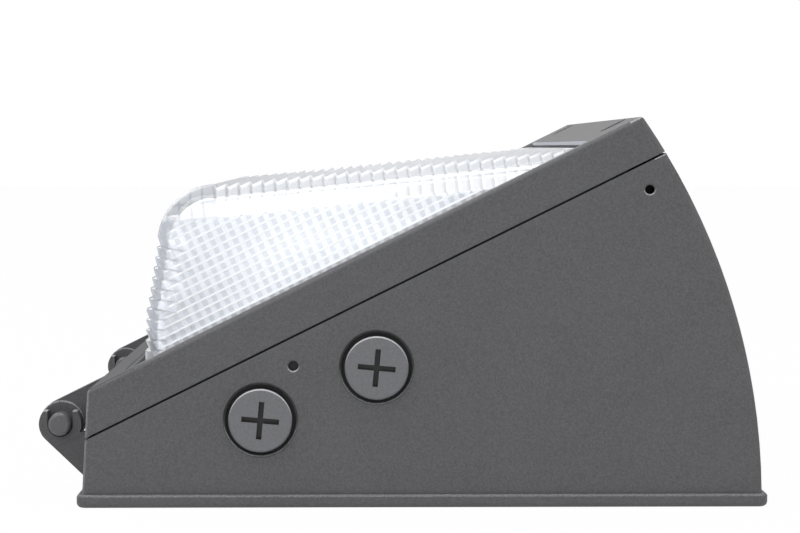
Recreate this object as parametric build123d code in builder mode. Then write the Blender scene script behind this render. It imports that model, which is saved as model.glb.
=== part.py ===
from build123d import *
import os
from math import cos, hypot, radians, sin, sqrt, tan

# A wall pack light, lying on its back. X runs up the wall, from the hinge at the light's low end to
# its curved top, Y runs across the light, and Z runs out from the wall. The origin is the centre of
# the back face, which lies on the wall.

os.makedirs("parts", exist_ok=True)

# ---- Driving dimensions, in millimetres and degrees ----

# Casing
flange_length = 217.1
flange_width = 280.6
flange_rise = 4.2
flange_ledge = 1.7
flange_corner = 3.0
flange_back_round = 1.6
flange_front_round = 1.0
wall = 3.0
floor = 3.5
low_wall_draft = 3.2
back_radius = 211.0
back_centre_height = 1.4
corner_round = 1.5

# Door face and the seam under it
door_slope = 26.3
door_low_height = 36.9
door_depth = 13.8
seam_gap = 0.6
face_thickness = 3.5
rim = 6.4
rim_depth = 6.0
latch_rim = 16.1
opening_low = 12.4
opening_high_band = 18.5
opening_side_band = 9.8
opening_round = 5.0
opening_bevel = 1.0

# Glass refractor
glass = 5.0
glass_flange = 4.3
glass_lap = 3.0
bowl_low_gap = 5.5
bowl_high_gap = 3.2
bowl_side_gap = 9.3
bowl_lean = 8.9
bowl_neck_height = 58.0
bowl_neck_round = 60.0
bowl_front_tilt = 5.7
bowl_front_meets_face = 4.6
bowl_low_round = 19.0
bowl_edge_round = 7.0
rib_pitch = 3.9
rib_steep = 62.0
rib_start = 16.0
rib_stop = 2.5
rib_side_gap = 0.5
rib_tip_drop = 0.05
wall_rib_pitch = 3.33
wall_rib_slope = 24.0
wall_rib_start = 3.0
wall_rib_stop = 15.0
glass_corner = 6.0

# Seals and the glass retainer
lens_gasket_thickness = 1.2
lens_gasket_gap = 0.2
door_gasket_inset = 2.7
door_gasket_width = 2.6
door_gasket_groove = 2.5
door_gasket_latch_inset = 0.9
door_gasket_corner = 3.0
gasket_side_gap = 0.1
strip_thickness = 1.2
strip_gap = 0.5
strip_lap = 2.6
strip_end_gap = 4.0
strip_boss_radius = 3.2
strip_boss_gap = 0.6
strip_tap_depth = 4.5
strip_screw_length = 4.0
strip_screw_spacing = 104.0
strip_screw_count = 3
lip_width = 28.0
lip_spacing = 88.0
lip_count = 3
lip_thickness = 2.2
lip_reach = 3.2
lip_gap = 0.3

# Hinge
pin_before_door = 17.5
knuckle_radius = 7.2
knuckle_width = 8.0
arm_depth = 11.0
arm_bury = 2.0
hook_radius = 6.9
hook_thickness = 5.0
hook_spacing = 208.5
hook_prong = 4.3
hook_under_slope = 43.8
hook_below_seam = 1.0
pin_radius = 3.75
pin_slot_gap = 0.35
pin_press_gap = 0.02
pin_stands_out = 2.0
pin_end_round = 1.1
knuckle_gap = 0.5

# Door screws
door_screw_inset = 6.3
door_screw_spacing = 205.0
recess_radius = 4.8
recess_depth = 4.6
screw_head_radius = 4.1
screw_head_height = 3.8
screw_hex = 4.0
screw_hex_depth = 2.4
screw_chamfer = 0.5
screw_core_radius = 2.1
screw_thread_radius = 2.5
screw_hole_gap = 0.5
screw_into_casing = 3.8
screw_tip_gap = 2.0
screw_turns = 5
screw_pitch = 0.8
ring_radius = 4.0
ring_thickness = 0.8
ring_groove = 0.3
ring_running_gap = 0.05
ring_pocket_gap = 0.4
ring_web = 3.2
ring_travel_gap = 0.2
latch_boss_radius = 5.5
latch_boss_depth = 17.0
latch_web = 5.0

# Conduit entries and their plugs, and the two small holes beside them
entry_places = [(44.5, -32.4), (84.4, -33.8)]
entry_mouth_radius = 11.1
entry_mouth_depth = 4.0
entry_chamfer = 0.7
entry_boss_radius = 14.0
entry_boss_depth = 9.0
plug_radius = 10.0
plug_thread_radius = 10.4
plug_thread_gap = 0.05
plug_proud = 2.4
plug_round = 0.8
plug_slot_length = 11.8
plug_slot_width = 1.7
plug_slot_depth = 2.2
plug_slot_turn = -5.0
plug_end_gap = 2.0
seal_thickness = 1.8
seal_gap = 0.05
side_hole_depth_line = -21.8
shallow_hole_along = 61.2
shallow_hole_radius = 1.55
shallow_hole_depth = 1.8
deep_hole_along = 185.6
deep_hole_radius = 1.45
deep_hole_depth = 8.0
deep_hole_boss_radius = 4.2
side_hole_chamfer = 0.4

# Holes in the back
rear_entry_radius = 11.1
wall_hole_radius = 3.3
wall_hole_spacing_x = 140.0
wall_hole_spacing_y = 200.0

# Gear tray, white, under the LED board
tray_thickness = 1.5
tray_face_depth = -24.0
tray_low = 6.0
tray_high = 166.0
tray_side_gap = 5.6
tray_tab_gap = 6.6
tray_lip = 6.0
tray_tab_length = 14.0
tray_tab_reach = 8.0
tray_tab_alongs = (16.0, 150.0)
lug_length = 12.0
lug_depth = 9.0
small_screw_core = 1.2
small_screw_thread = 1.5
small_screw_hole = 1.7
small_screw_head = 2.9
small_screw_head_height = 1.9
small_screw_length = 6.0
small_screw_slot = 0.7
cross_reach = 1.2
cross_depth = 0.5

# LED board
board_length = 66.0
board_width = 186.0
board_thickness = 1.6
board_along = 86.0
led_rows = 3
led_columns = 8
led_row_pitch = 20.0
led_column_pitch = 21.0
led_size = 3.5
led_base = 0.7
led_dome = 1.5
led_dome_share = 0.45
led_dome_taper = 35
board_screw_inset = 4.5
board_screw_length = 4.5
connector_length = 9.0
connector_width = 12.0
connector_height = 5.0
connector_inset = 6.0
connector_wire_pitch = 5.0

# Driver
driver_x = 64.0
driver_length = 44.0
driver_width = 126.0
driver_height = 30.0
driver_sheet = 1.2
driver_ear = 13.0
driver_land = 2.5
driver_land_margin = 2.0
driver_screw_radius = 2.0
driver_screw_core = 1.65
driver_screw_hole = 2.2
driver_screw_head = 3.8
driver_screw_head_height = 2.6
driver_screw_length = 5.5
driver_tap_depth = 4.6
circuit_thickness = 1.6
circuit_standoff = 4.0
circuit_gap = 0.3
circuit_post_x = 30.0
circuit_post_y = 100.0
circuit_post_radius = 2.0
choke_y = -30.0
choke_width = 22.0
choke_height = 15.0
core_y = 6.0
core_width = 26.0
core_height = 18.0
core_length = 22.0
can_places = (-48.0, 30.0, 46.0)
can_radii = (5.0, 6.0, 4.5)
can_heights = (12.0, 17.0, 14.0)
can_shift = 9.0
lid_gap = 0.2
lid_lip = 5.0

# Wiring
supply_lead = 2.6
led_lead = 1.8
lead_height = 15.0
lead_spacing = 10.0
lead_hole_gap = 0.2
lead_reach_in = 1.0
cap_length = 19.0
cap_mouth_radius = 6.0
cap_tip_radius = 3.6
cap_bore_radius = 4.2
cap_bore_end_radius = 2.0
cap_bore_depth = 13.0
cap_floor_gap = 0.3
cap_mouth_x = 27.0
cap_wall_gaps = (53.6, 38.6, 26.1)
lead_in_cap = 9.0
grommet_radius = 6.0
grommet_flange_radius = 7.6
grommet_bore = 3.6
grommet_flange = 1.2
grommet_before_tray_end = 24.0
grommet_y = 70.0
earth_x = 57.0
earth_wall_gap = 22.6
earth_boss_radius = 4.6
earth_boss_height = 6.0
earth_terminal_thickness = 0.8
earth_terminal_radius = 4.2
earth_barrel_length = 7.0
earth_barrel_radius = 1.7
earth_run = 5.0
supply_bend = 15.0
supply_drop = 3.0
led_run = 18.0
led_under_tray = 16.0
led_over_tray = 8.5
led_before_block = 7.0
led_in_block = 3.0
grommet_wire_pitch = 3.0
run_share = 0.45

# ---- Shared geometry, worked out from the driving dimensions ----

body_half = flange_width / 2 - flange_ledge
inner_half = body_half - wall
wall_foot_x = -flange_length / 2 + flange_ledge
wall_lean = tan(radians(low_wall_draft))
low_end_x = wall_foot_x + (door_low_height - flange_rise) * wall_lean
back_centre_x = flange_length / 2 - flange_ledge - back_radius
slope_cos = cos(radians(door_slope))
slope_sin = sin(radians(door_slope))
door_back = -(door_depth - seam_gap)
casing_front = -door_depth
cut_past = 1.0


def slope_point(along, out):
    """A side view point as (X, Z), along the door's face from its low end, and out from that face."""
    x = low_end_x + along * slope_cos - out * slope_sin
    z = door_low_height + along * slope_sin + out * slope_cos
    return (x, z)


def slope_plane(out, along=0.0):
    """A plane parallel to the door's face: its x runs up the slope, its y across, its z outwards."""
    x, z = slope_point(along, out)
    return Plane(origin=(x, 0, z), x_dir=(slope_cos, 0, slope_sin), z_dir=(-slope_sin, 0, slope_cos))


def slope_space(along, y, out):
    """A point of the slope's own axes as (X, Y, Z)."""
    x, z = slope_point(along, out)
    return (x, y, z)


def side_plane(y):
    """The side view's plane at one Y. It faces -Y, its x is X and its y is Z."""
    return Plane.XZ.offset(-y)


def low_wall(inset, out):
    """How far along the slope the low end wall stands, drawn in by inset, at one depth."""
    draft = radians(low_wall_draft)
    reach = inset / cos(draft) + out * (slope_sin + slope_cos * wall_lean)
    return reach / (slope_cos - slope_sin * wall_lean)


def high_wall(inset, out):
    """How far along the slope the curved wall stands, drawn in by inset, at one depth."""
    x, z = slope_point(0, out)
    from_centre_x = x - back_centre_x
    from_centre_z = z - back_centre_height
    along_centre = from_centre_x * slope_cos + from_centre_z * slope_sin
    square = along_centre**2 - from_centre_x**2 - from_centre_z**2 + (back_radius - inset) ** 2
    return sqrt(square) - along_centre


def back_arc(inset, start, end):
    """The curved wall's side view between two points that lie on it."""
    middle_x = (start[0] + end[0]) / 2 - back_centre_x
    middle_z = (start[1] + end[1]) / 2 - back_centre_height
    stretch = (back_radius - inset) / hypot(middle_x, middle_z)
    middle = (back_centre_x + middle_x * stretch, back_centre_height + middle_z * stretch)
    ThreePointArc(start, middle, end)


def hull_outline(inset, base, out):
    """Side view of the casing, its walls drawn in by inset, from one height up to the slope."""
    draft = radians(low_wall_draft)
    foot_x = wall_foot_x + (base - flange_rise) * wall_lean + inset / cos(draft)
    heel_x = back_centre_x + sqrt((back_radius - inset) ** 2 - (base - back_centre_height) ** 2)
    low_top = slope_point(low_wall(inset, out), out)
    high_top = slope_point(high_wall(inset, out), out)
    with BuildLine() as outline:
        Polyline(high_top, low_top, (foot_x, base), (heel_x, base))
        back_arc(inset, (heel_x, base), high_top)
    make_face(outline.edges())


mouth_high = high_wall(0, door_back) - latch_rim
mouth_half = body_half - rim


def mouth_outline(deep, shallow):
    """Side view of the way into the casing, inside the rims that meet at the seam."""
    Polygon(
        slope_point(low_wall(rim, shallow), shallow),
        slope_point(low_wall(rim, deep), deep),
        slope_point(mouth_high, deep),
        slope_point(mouth_high, shallow),
        align=None,
    )


def slope_rectangle(low, high, half_width, mode=Mode.ADD):
    """A rectangle on a slope plane, from low to high along it."""
    with Locations(((low + high) / 2, 0)):
        Rectangle(high - low, 2 * half_width, mode=mode)


def ring_band(low, high, half_width, width, corner):
    """A rectangular ring on a slope plane, its corners rounded outside."""
    with Locations(((low + high) / 2, 0)):
        RectangleRounded(high - low, 2 * half_width, corner)
        Rectangle(high - low - 2 * width, 2 * (half_width - width), mode=Mode.SUBTRACT)


# ---- Hinge, laid out from the door's face so that the arms run on from it ----

pin_x, pin_z = slope_point(-pin_before_door, -knuckle_radius)
slot_radius = pin_radius + pin_slot_gap
hook_places = (-hook_spacing / 2, hook_spacing / 2)

# ---- Door screws and the entries ----

screw_along = high_wall(0, 0) - door_screw_inset
screw_places = [(screw_along, -door_screw_spacing / 2), (screw_along, door_screw_spacing / 2)]
entry_points = [slope_point(along, out) for along, out in entry_places]
shallow_hole = slope_point(shallow_hole_along, side_hole_depth_line)
deep_hole = slope_point(deep_hole_along, side_hole_depth_line)
tray_under = tray_face_depth - tray_thickness
tray_half_width = inner_half - entry_boss_depth - tray_side_gap
tab_edge = inner_half - tray_tab_gap
grommet_along = tray_high - grommet_before_tray_end
tab_places = [
    (along, side * (tab_edge - tray_tab_reach / 2)) for along in tray_tab_alongs for side in (-1, 1)
]
driver_floor = floor + driver_land
driver_ear_y = driver_width / 2 + driver_ear / 2
driver_screw_places = [(driver_x, -driver_ear_y), (driver_x, driver_ear_y)]
earth_place = (earth_x, earth_wall_gap - inner_half)
cap_places = [gap - inner_half for gap in cap_wall_gaps]

# ---- Outer form that the housing and the door are cut from, with the rounds they share ----

with BuildPart() as outer_form:
    with BuildSketch(Plane.XZ):
        hull_outline(0, flange_rise / 2, 0)
    extrude(amount=body_half, both=True)
    fillet(outer_form.edges().filter_by(lambda edge: edge.center().Z > flange_rise), corner_round)

# ---- Housing: the die-cast shell on the wall ----

with BuildPart() as housing:
    with BuildSketch(Plane.XY):
        RectangleRounded(flange_length, flange_width, flange_corner)
    extrude(amount=flange_rise)
    fillet(housing.faces().sort_by(Axis.Z)[0].edges(), flange_back_round)
    fillet(housing.faces().sort_by(Axis.Z)[-1].edges(), flange_front_round)
    add(outer_form.part)
    split(bisect_by=slope_plane(casing_front), keep=Keep.BOTTOM)

    # Hook plates, open outwards, that the hinge pins lie in
    tangent = radians(hook_under_slope)
    under_x = pin_x - hook_radius * sin(tangent)
    under_z = pin_z - hook_radius * cos(tangent)
    hook_wall_top = slope_point(low_wall(0, casing_front), casing_front)[1] - hook_below_seam
    hook_foot_x = under_x + (under_z - flange_rise) / tan(tangent)
    inside_x = wall_foot_x + wall / 2
    hook_cut_width = 2 * (inside_x - pin_x)
    for place in hook_places:
        with BuildSketch(side_plane(place + hook_thickness / 2)):
            with Locations((pin_x, pin_z)):
                Circle(hook_radius)
            Polygon(
                (under_x, under_z),
                (hook_foot_x, flange_rise),
                (hook_foot_x, flange_rise / 2),
                (inside_x, flange_rise / 2),
                (inside_x, hook_wall_top),
                (pin_x, hook_wall_top),
                align=None,
            )
            with Locations((pin_x, pin_z + hook_prong + hook_radius)):
                Rectangle(hook_cut_width, 2 * hook_radius, mode=Mode.SUBTRACT)
            with Locations((pin_x, pin_z)):
                Circle(slot_radius, mode=Mode.SUBTRACT)
            with Locations((pin_x, pin_z + hook_radius)):
                Rectangle(2 * slot_radius, 2 * hook_radius, mode=Mode.SUBTRACT)
        extrude(amount=hook_thickness)

    # Hollow, and the way into it through the rim
    with BuildSketch(Plane.XZ):
        hull_outline(wall, floor, casing_front - rim_depth)
    extrude(amount=inner_half, both=True, mode=Mode.SUBTRACT)
    with BuildSketch(Plane.XZ):
        mouth_outline(casing_front - rim_depth - cut_past, casing_front + cut_past)
    extrude(amount=mouth_half, both=True, mode=Mode.SUBTRACT)

    # Bosses for the door screws, joined to the curved wall
    with BuildSketch(slope_plane(casing_front - rim_depth + cut_past)):
        with Locations(*screw_places):
            Circle(latch_boss_radius)
        web_end = high_wall(wall / 2, casing_front)
        for along, y in screw_places:
            with Locations(((along + web_end) / 2, y)):
                Rectangle(web_end - along, latch_web)
    extrude(amount=-latch_boss_depth)
    with BuildSketch(slope_plane(casing_front)):
        with Locations(*screw_places):
            Circle(screw_thread_radius)
    extrude(amount=-(screw_into_casing + screw_tip_gap + latch_boss_depth / 2), mode=Mode.SUBTRACT)

    # Conduit entries and the two small holes, on both sides
    for side in (-1, 1):
        with BuildSketch(side_plane(side * (inner_half + wall / 2))):
            with Locations(*entry_points):
                Circle(entry_boss_radius)
            with Locations(deep_hole):
                Circle(deep_hole_boss_radius)
        extrude(amount=side * (entry_boss_depth + wall / 2))
        with BuildSketch(side_plane(side * body_half)):
            with Locations(*entry_points):
                Circle(plug_thread_radius)
        extrude(amount=side * (wall + entry_boss_depth + cut_past), mode=Mode.SUBTRACT)
        with BuildSketch(side_plane(side * body_half)):
            with Locations(*entry_points):
                Circle(entry_mouth_radius)
        extrude(amount=side * entry_mouth_depth, mode=Mode.SUBTRACT)
        with BuildSketch(side_plane(side * body_half)):
            with Locations(*entry_points):
                Circle(entry_mouth_radius + entry_chamfer)
        extrude(amount=side * entry_chamfer, taper=45, mode=Mode.SUBTRACT)
        with BuildSketch(side_plane(side * body_half)):
            with Locations(deep_hole):
                Circle(deep_hole_radius)
        extrude(amount=side * deep_hole_depth, mode=Mode.SUBTRACT)
        with BuildSketch(side_plane(side * body_half)):
            with Locations(shallow_hole):
                Circle(shallow_hole_radius)
        extrude(amount=side * shallow_hole_depth, mode=Mode.SUBTRACT)
        with BuildSketch(side_plane(side * body_half)):
            with Locations(deep_hole):
                Circle(deep_hole_radius + side_hole_chamfer)
            with Locations(shallow_hole):
                Circle(shallow_hole_radius + side_hole_chamfer)
        extrude(amount=side * side_hole_chamfer, taper=45, mode=Mode.SUBTRACT)

    # Lugs under the tray's four tabs
    with BuildSketch(slope_plane(tray_under)):
        for along, y in tab_places:
            lug_out = inner_half + wall / 2
            lug_in = tab_edge - tray_tab_reach
            side = 1 if y > 0 else -1
            with Locations((along, side * (lug_in + lug_out) / 2)):
                Rectangle(lug_length, lug_out - lug_in)
    extrude(amount=-lug_depth)
    with BuildSketch(slope_plane(tray_under)):
        with Locations(*tab_places):
            Circle(small_screw_thread)
    extrude(amount=-small_screw_length, mode=Mode.SUBTRACT)

    # Land for the driver, with its tapped holes, and the earth boss
    with BuildSketch(Plane.XY.offset(floor)):
        with Locations((driver_x, 0)):
            Rectangle(
                driver_length + 2 * driver_land_margin,
                driver_width + 2 * (driver_ear + driver_land_margin),
            )
    extrude(amount=driver_land)
    with BuildSketch(Plane.XY.offset(driver_floor)):
        with Locations(*driver_screw_places):
            Circle(driver_screw_radius)
    extrude(amount=-driver_tap_depth, mode=Mode.SUBTRACT)
    with BuildSketch(Plane.XY.offset(floor)):
        with Locations(earth_place):
            Circle(earth_boss_radius)
            Circle(driver_screw_radius, mode=Mode.SUBTRACT)
    extrude(amount=earth_boss_height)

    # Holes in the back: the wall screws' and the supply cable's
    with BuildSketch(Plane.XY):
        with GridLocations(wall_hole_spacing_x, wall_hole_spacing_y, 2, 2):
            Circle(wall_hole_radius)
        Circle(rear_entry_radius)
    extrude(amount=floor + cut_past, mode=Mode.SUBTRACT)
housing.part.label = "housing"
export_step(housing.part, "parts/housing.step")

# ---- Door frame: die-cast, it holds the glass and swings on the hinge ----

opening_high = high_wall(0, 0) - opening_high_band
opening_half = body_half - opening_side_band
glass_low = opening_low - glass_lap
glass_high = opening_high + glass_lap
glass_half = opening_half + glass_lap
glass_front = -(face_thickness + lens_gasket_thickness)
glass_back = glass_front - glass_flange
strip_screw_along = glass_low - strip_boss_gap - strip_boss_radius
strip_places = [
    (strip_screw_along, (count - (strip_screw_count - 1) / 2) * strip_screw_spacing)
    for count in range(strip_screw_count)
]
lip_places = [(count - (lip_count - 1) / 2) * lip_spacing for count in range(lip_count)]
gasket_low = low_wall(door_gasket_inset, door_back)
gasket_high = mouth_high + door_gasket_latch_inset + door_gasket_width
gasket_half = body_half - door_gasket_inset
ring_pocket_depth = -door_back - recess_depth - ring_web

with BuildPart() as door_frame:
    add(outer_form.part)
    split(bisect_by=slope_plane(door_back), keep=Keep.TOP)

    # Hinge arms, which run on from the door's face to the knuckles
    for place in hook_places:
        knuckle_end = place + hook_thickness / 2 + knuckle_gap + knuckle_width
        with BuildSketch(side_plane(knuckle_end)):
            with Locations((pin_x, pin_z)):
                Circle(knuckle_radius)
            Polygon(
                slope_point(-pin_before_door, 0),
                slope_point(-pin_before_door, -arm_depth),
                slope_point(arm_bury, -arm_depth),
                slope_point(arm_bury, 0),
                align=None,
            )
            with Locations((pin_x, pin_z)):
                Circle(pin_radius + pin_press_gap, mode=Mode.SUBTRACT)
        extrude(amount=knuckle_width)

    # Space behind the face, and the opening for the glass with its bevel
    with BuildSketch(Plane.XZ):
        mouth_outline(door_back - cut_past, -face_thickness)
    extrude(amount=mouth_half, both=True, mode=Mode.SUBTRACT)
    with BuildSketch(slope_plane(0)):
        with Locations(((opening_low + opening_high) / 2, 0)):
            RectangleRounded(opening_high - opening_low, 2 * opening_half, opening_round)
    extrude(amount=-(face_thickness + cut_past), mode=Mode.SUBTRACT)
    with BuildSketch(slope_plane(0)):
        with Locations(((opening_low + opening_high) / 2, 0)):
            RectangleRounded(
                opening_high - opening_low + 2 * opening_bevel,
                2 * (opening_half + opening_bevel),
                opening_round + opening_bevel,
            )
    extrude(amount=-opening_bevel, taper=45, mode=Mode.SUBTRACT)

    # Bosses for the retainer strip, and the lips that the glass tucks under
    with BuildSketch(slope_plane(-face_thickness / 2)):
        with Locations(*strip_places):
            Circle(strip_boss_radius)
    extrude(amount=glass_back + face_thickness / 2)
    with BuildSketch(slope_plane(glass_back)):
        with Locations(*strip_places):
            Circle(small_screw_thread)
    extrude(amount=strip_tap_depth, mode=Mode.SUBTRACT)
    with BuildSketch(slope_plane(glass_back - lip_gap)):
        for y in lip_places:
            with Locations((mouth_high - lip_reach / 2 + arm_bury / 2, y)):
                Rectangle(lip_reach + arm_bury, lip_width)
    extrude(amount=-lip_thickness)

    # Groove for the door gasket
    with BuildSketch(slope_plane(door_back)):
        ring_band(gasket_low, gasket_high, gasket_half, door_gasket_width, door_gasket_corner)
    extrude(amount=door_gasket_groove, mode=Mode.SUBTRACT)

    # Recesses, holes and ring pockets of the door screws
    with BuildSketch(slope_plane(0)):
        with Locations(*screw_places):
            Circle(recess_radius)
    extrude(amount=-recess_depth, mode=Mode.SUBTRACT)
    with BuildSketch(slope_plane(0)):
        with Locations(*screw_places):
            Circle(screw_core_radius + screw_hole_gap)
    extrude(amount=door_back - cut_past, mode=Mode.SUBTRACT)
    with BuildSketch(slope_plane(door_back)):
        with Locations(*screw_places):
            Circle(ring_radius + ring_pocket_gap)
    extrude(amount=ring_pocket_depth, mode=Mode.SUBTRACT)
door_frame.part.label = "door_frame"
export_step(door_frame.part, "parts/door_frame.step")

# ---- Hinge pins, pressed into the knuckles ----

with BuildPart() as hinge_pins:
    for place in hook_places:
        knuckle_end = place + hook_thickness / 2 + knuckle_gap + knuckle_width
        pin_tip = place - hook_thickness / 2 - pin_stands_out
        with BuildSketch(side_plane(knuckle_end)):
            with Locations((pin_x, pin_z)):
                Circle(pin_radius)
        extrude(amount=knuckle_end - pin_tip)
        tips = hinge_pins.edges().filter_by_position(Axis.Y, pin_tip - pin_press_gap, pin_tip + pin_press_gap)
        fillet(tips, pin_end_round)
hinge_pins.part.label = "hinge_pins"
export_step(hinge_pins.part, "parts/hinge_pins.step")

# ---- Door gasket, in its groove and on the housing's rim ----

with BuildPart() as door_gasket:
    with BuildSketch(slope_plane(casing_front)):
        ring_band(
            gasket_low + gasket_side_gap,
            gasket_high - gasket_side_gap,
            gasket_half - gasket_side_gap,
            door_gasket_width - 2 * gasket_side_gap,
            door_gasket_corner,
        )
    extrude(amount=seam_gap + door_gasket_groove)
door_gasket.part.label = "door_gasket"
export_step(door_gasket.part, "parts/door_gasket.step")

# ---- Glass refractor: a ribbed bowl with a flange behind the frame ----

bowl_low_x = slope_point(opening_low + bowl_low_gap, 0)[0]
bowl_high = opening_high - bowl_high_gap
bowl_half = opening_half - bowl_side_gap
front_meet = slope_point(opening_high - bowl_front_meets_face, 0)
lean_tan = tan(radians(bowl_lean))
tilt_tan = tan(radians(bowl_front_tilt))


def bowl_corners(inset, base):
    """The bowl's side view, its walls drawn in by inset: base, neck, low corner, high corner, base."""
    low_x = bowl_low_x + inset
    base_along = (low_x - low_end_x + base * slope_sin) / slope_cos
    lean_shift = inset / cos(radians(bowl_lean))
    neck_z = bowl_neck_height + (inset - lean_shift) / lean_tan
    lean_start = bowl_low_x + lean_shift - bowl_neck_height * lean_tan
    front_drop = inset / cos(radians(bowl_front_tilt))
    front_start = front_meet[1] - front_drop - front_meet[0] * tilt_tan
    corner_z = (front_start + lean_start * tilt_tan) / (1 - lean_tan * tilt_tan)
    corner_x = lean_start + corner_z * lean_tan
    along = bowl_high - inset
    end_x, end_z = slope_point(along, 0)
    high_out = (front_start + end_x * tilt_tan - end_z) / (slope_cos + slope_sin * tilt_tan)
    return (
        slope_point(base_along, base),
        (low_x, neck_z),
        (corner_x, corner_z),
        slope_point(along, high_out),
        slope_point(along, base),
    )


def bowl_form(inset, base):
    """Adds the bowl, drawn in by inset, with its rounded edges, to a part of its own."""
    with BuildPart() as form:
        with BuildSketch(Plane.XZ):
            Polygon(*bowl_corners(inset, base), align=None)
        extrude(amount=bowl_half - inset, both=True)
        neck_x, neck_z = bowl_corners(inset, base)[1]
        corner_x, corner_z = bowl_corners(inset, base)[2]
        across = form.edges().filter_by(Axis.Y)
        fillet(across.sort_by_distance((neck_x, 0, neck_z))[0], bowl_neck_round)
        across = form.edges().filter_by(Axis.Y)
        fillet(across.sort_by_distance((corner_x, 0, corner_z))[0], bowl_low_round - inset)
        sides = form.edges().filter_by(lambda edge: abs(abs(edge.center().Y) - bowl_half + inset) < cut_past)
        rounded = sides.filter_by(lambda edge: not lies_on_slope(edge, base) and not is_high_end(edge, inset))
        fillet(rounded, bowl_edge_round - inset)
    return form.part


def lies_on_slope(edge, out):
    """Whether an edge lies in the plane at one depth under the door's face."""
    heights = [slope_plane(out).to_local_coords(point).Z for point in (edge @ 0, edge @ 1)]
    return all(abs(height) < rib_tip_drop for height in heights)


def is_high_end(edge, inset):
    """Whether an edge belongs to the short wall at the bowl's high end."""
    ends = [slope_plane(0).to_local_coords(point).X for point in (edge @ 0, edge @ 1)]
    return all(abs(along - bowl_high + inset) < rib_tip_drop for along in ends)


def saw_teeth(start, direction, pitch, count, rise, steep):
    """A cutter's side view: teeth from start along a direction, with long faces that rise by an angle."""
    depth_along = pitch * tan(radians(rise)) / (tan(radians(steep)) + tan(radians(rise)))
    depth = depth_along * tan(radians(steep)) + rib_tip_drop
    forward = Vector(direction).normalized()
    outward = forward.rotate(Axis.Z, 90)
    tips = [Vector(start) + forward * (pitch * count_done) for count_done in range(count + 1)]
    points = [tips[0] + outward * pitch]
    for tip in tips[:-1]:
        points.append(tip - outward * rib_tip_drop)
        points.append(tip + forward * depth_along - outward * depth)
    points.append(tips[-1] - outward * rib_tip_drop)
    points.append(tips[-1] + outward * pitch)
    Polygon(*points, align=None)


bowl_base, bowl_neck, bowl_corner, bowl_high_corner, bowl_high_base = bowl_corners(0, glass_front)
front_length = hypot(bowl_high_corner[0] - bowl_corner[0], bowl_high_corner[1] - bowl_corner[1])
front_ribs = int((front_length - rib_start - rib_stop) / rib_pitch)
front_direction = Vector(cos(radians(bowl_front_tilt)), sin(radians(bowl_front_tilt)))
lean_direction = Vector(sin(radians(bowl_lean)), cos(radians(bowl_lean)))
wall_length = hypot(bowl_corner[0] - bowl_neck[0], bowl_corner[1] - bowl_neck[1])
wall_ribs = int((wall_length - wall_rib_start - wall_rib_stop) / wall_rib_pitch)
bowl_outside = bowl_form(0, glass_front)
bowl_inside = bowl_form(glass, glass_back - cut_past)

with BuildPart() as glass_lens:
    with BuildSketch(slope_plane(glass_front)):
        with Locations(((glass_low + glass_high) / 2, 0)):
            RectangleRounded(glass_high - glass_low, 2 * glass_half, glass_corner)
    extrude(amount=-glass_flange)
    add(bowl_outside)
    add(bowl_inside, mode=Mode.SUBTRACT)
    with BuildSketch(Plane.XZ):
        saw_teeth(
            Vector(*bowl_corner) + front_direction * rib_start,
            front_direction,
            rib_pitch,
            front_ribs,
            door_slope - bowl_front_tilt,
            rib_steep,
        )
        saw_teeth(
            Vector(*bowl_neck) + lean_direction * wall_rib_start,
            lean_direction,
            wall_rib_pitch,
            wall_ribs,
            wall_rib_slope,
            rib_steep,
        )
    extrude(amount=bowl_half - bowl_edge_round - rib_side_gap, both=True, mode=Mode.SUBTRACT)
glass_lens.part.label = "glass_lens"
export_step(glass_lens.part, "parts/glass_lens.step")

# ---- Gasket between the glass flange and the frame ----

with BuildPart() as lens_gasket:
    with BuildSketch(slope_plane(glass_front)):
        with Locations(((opening_low + opening_high) / 2, 0)):
            RectangleRounded(
                glass_high - glass_low - 2 * lens_gasket_gap,
                2 * (glass_half - lens_gasket_gap),
                glass_corner,
            )
            RectangleRounded(
                opening_high - opening_low,
                2 * opening_half,
                opening_round,
                mode=Mode.SUBTRACT,
            )
    extrude(amount=lens_gasket_thickness)
lens_gasket.part.label = "lens_gasket"
export_step(lens_gasket.part, "parts/lens_gasket.step")


def pan_screws(plane, places, core, length, head_radius, head_height, slot):
    """Screws with round heads and a cross, in the active part: each head lies on the plane."""
    with BuildSketch(plane) as shanks:
        with Locations(*places):
            Circle(core)
    extrude(shanks.sketch, amount=-length)
    with BuildSketch(plane) as heads:
        with Locations(*places):
            Circle(head_radius)
    extrude(heads.sketch, amount=head_height)
    with BuildSketch(plane.offset(head_height)) as cross:
        with Locations(*places):
            Rectangle(head_radius * cross_reach, slot)
            Rectangle(slot, head_radius * cross_reach)
    extrude(cross.sketch, amount=-head_height * cross_depth, mode=Mode.SUBTRACT)


# ---- Retainer strip that holds the glass at the low end, and its screws ----

strip_low = low_wall(rim, glass_back) + strip_gap
strip_high = glass_low + strip_lap
strip_half = mouth_half - strip_end_gap

with BuildPart() as lens_strip:
    with BuildSketch(slope_plane(glass_back)):
        slope_rectangle(strip_low, strip_high, strip_half)
        with Locations(*strip_places):
            Circle(small_screw_hole, mode=Mode.SUBTRACT)
    extrude(amount=-strip_thickness)
lens_strip.part.label = "lens_strip"
export_step(lens_strip.part, "parts/lens_strip.step")

under_strip = -slope_plane(glass_back - strip_thickness)
strip_places_under = [(along, -y) for along, y in strip_places]
with BuildPart() as strip_screws:
    pan_screws(
        under_strip,
        strip_places_under,
        small_screw_core,
        strip_screw_length,
        small_screw_head,
        small_screw_head_height,
        small_screw_slot,
    )
strip_screws.part.label = "strip_screws"
export_step(strip_screws.part, "parts/strip_screws.step")

# ---- Door screws, each with the retaining ring that keeps it in the door ----

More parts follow.
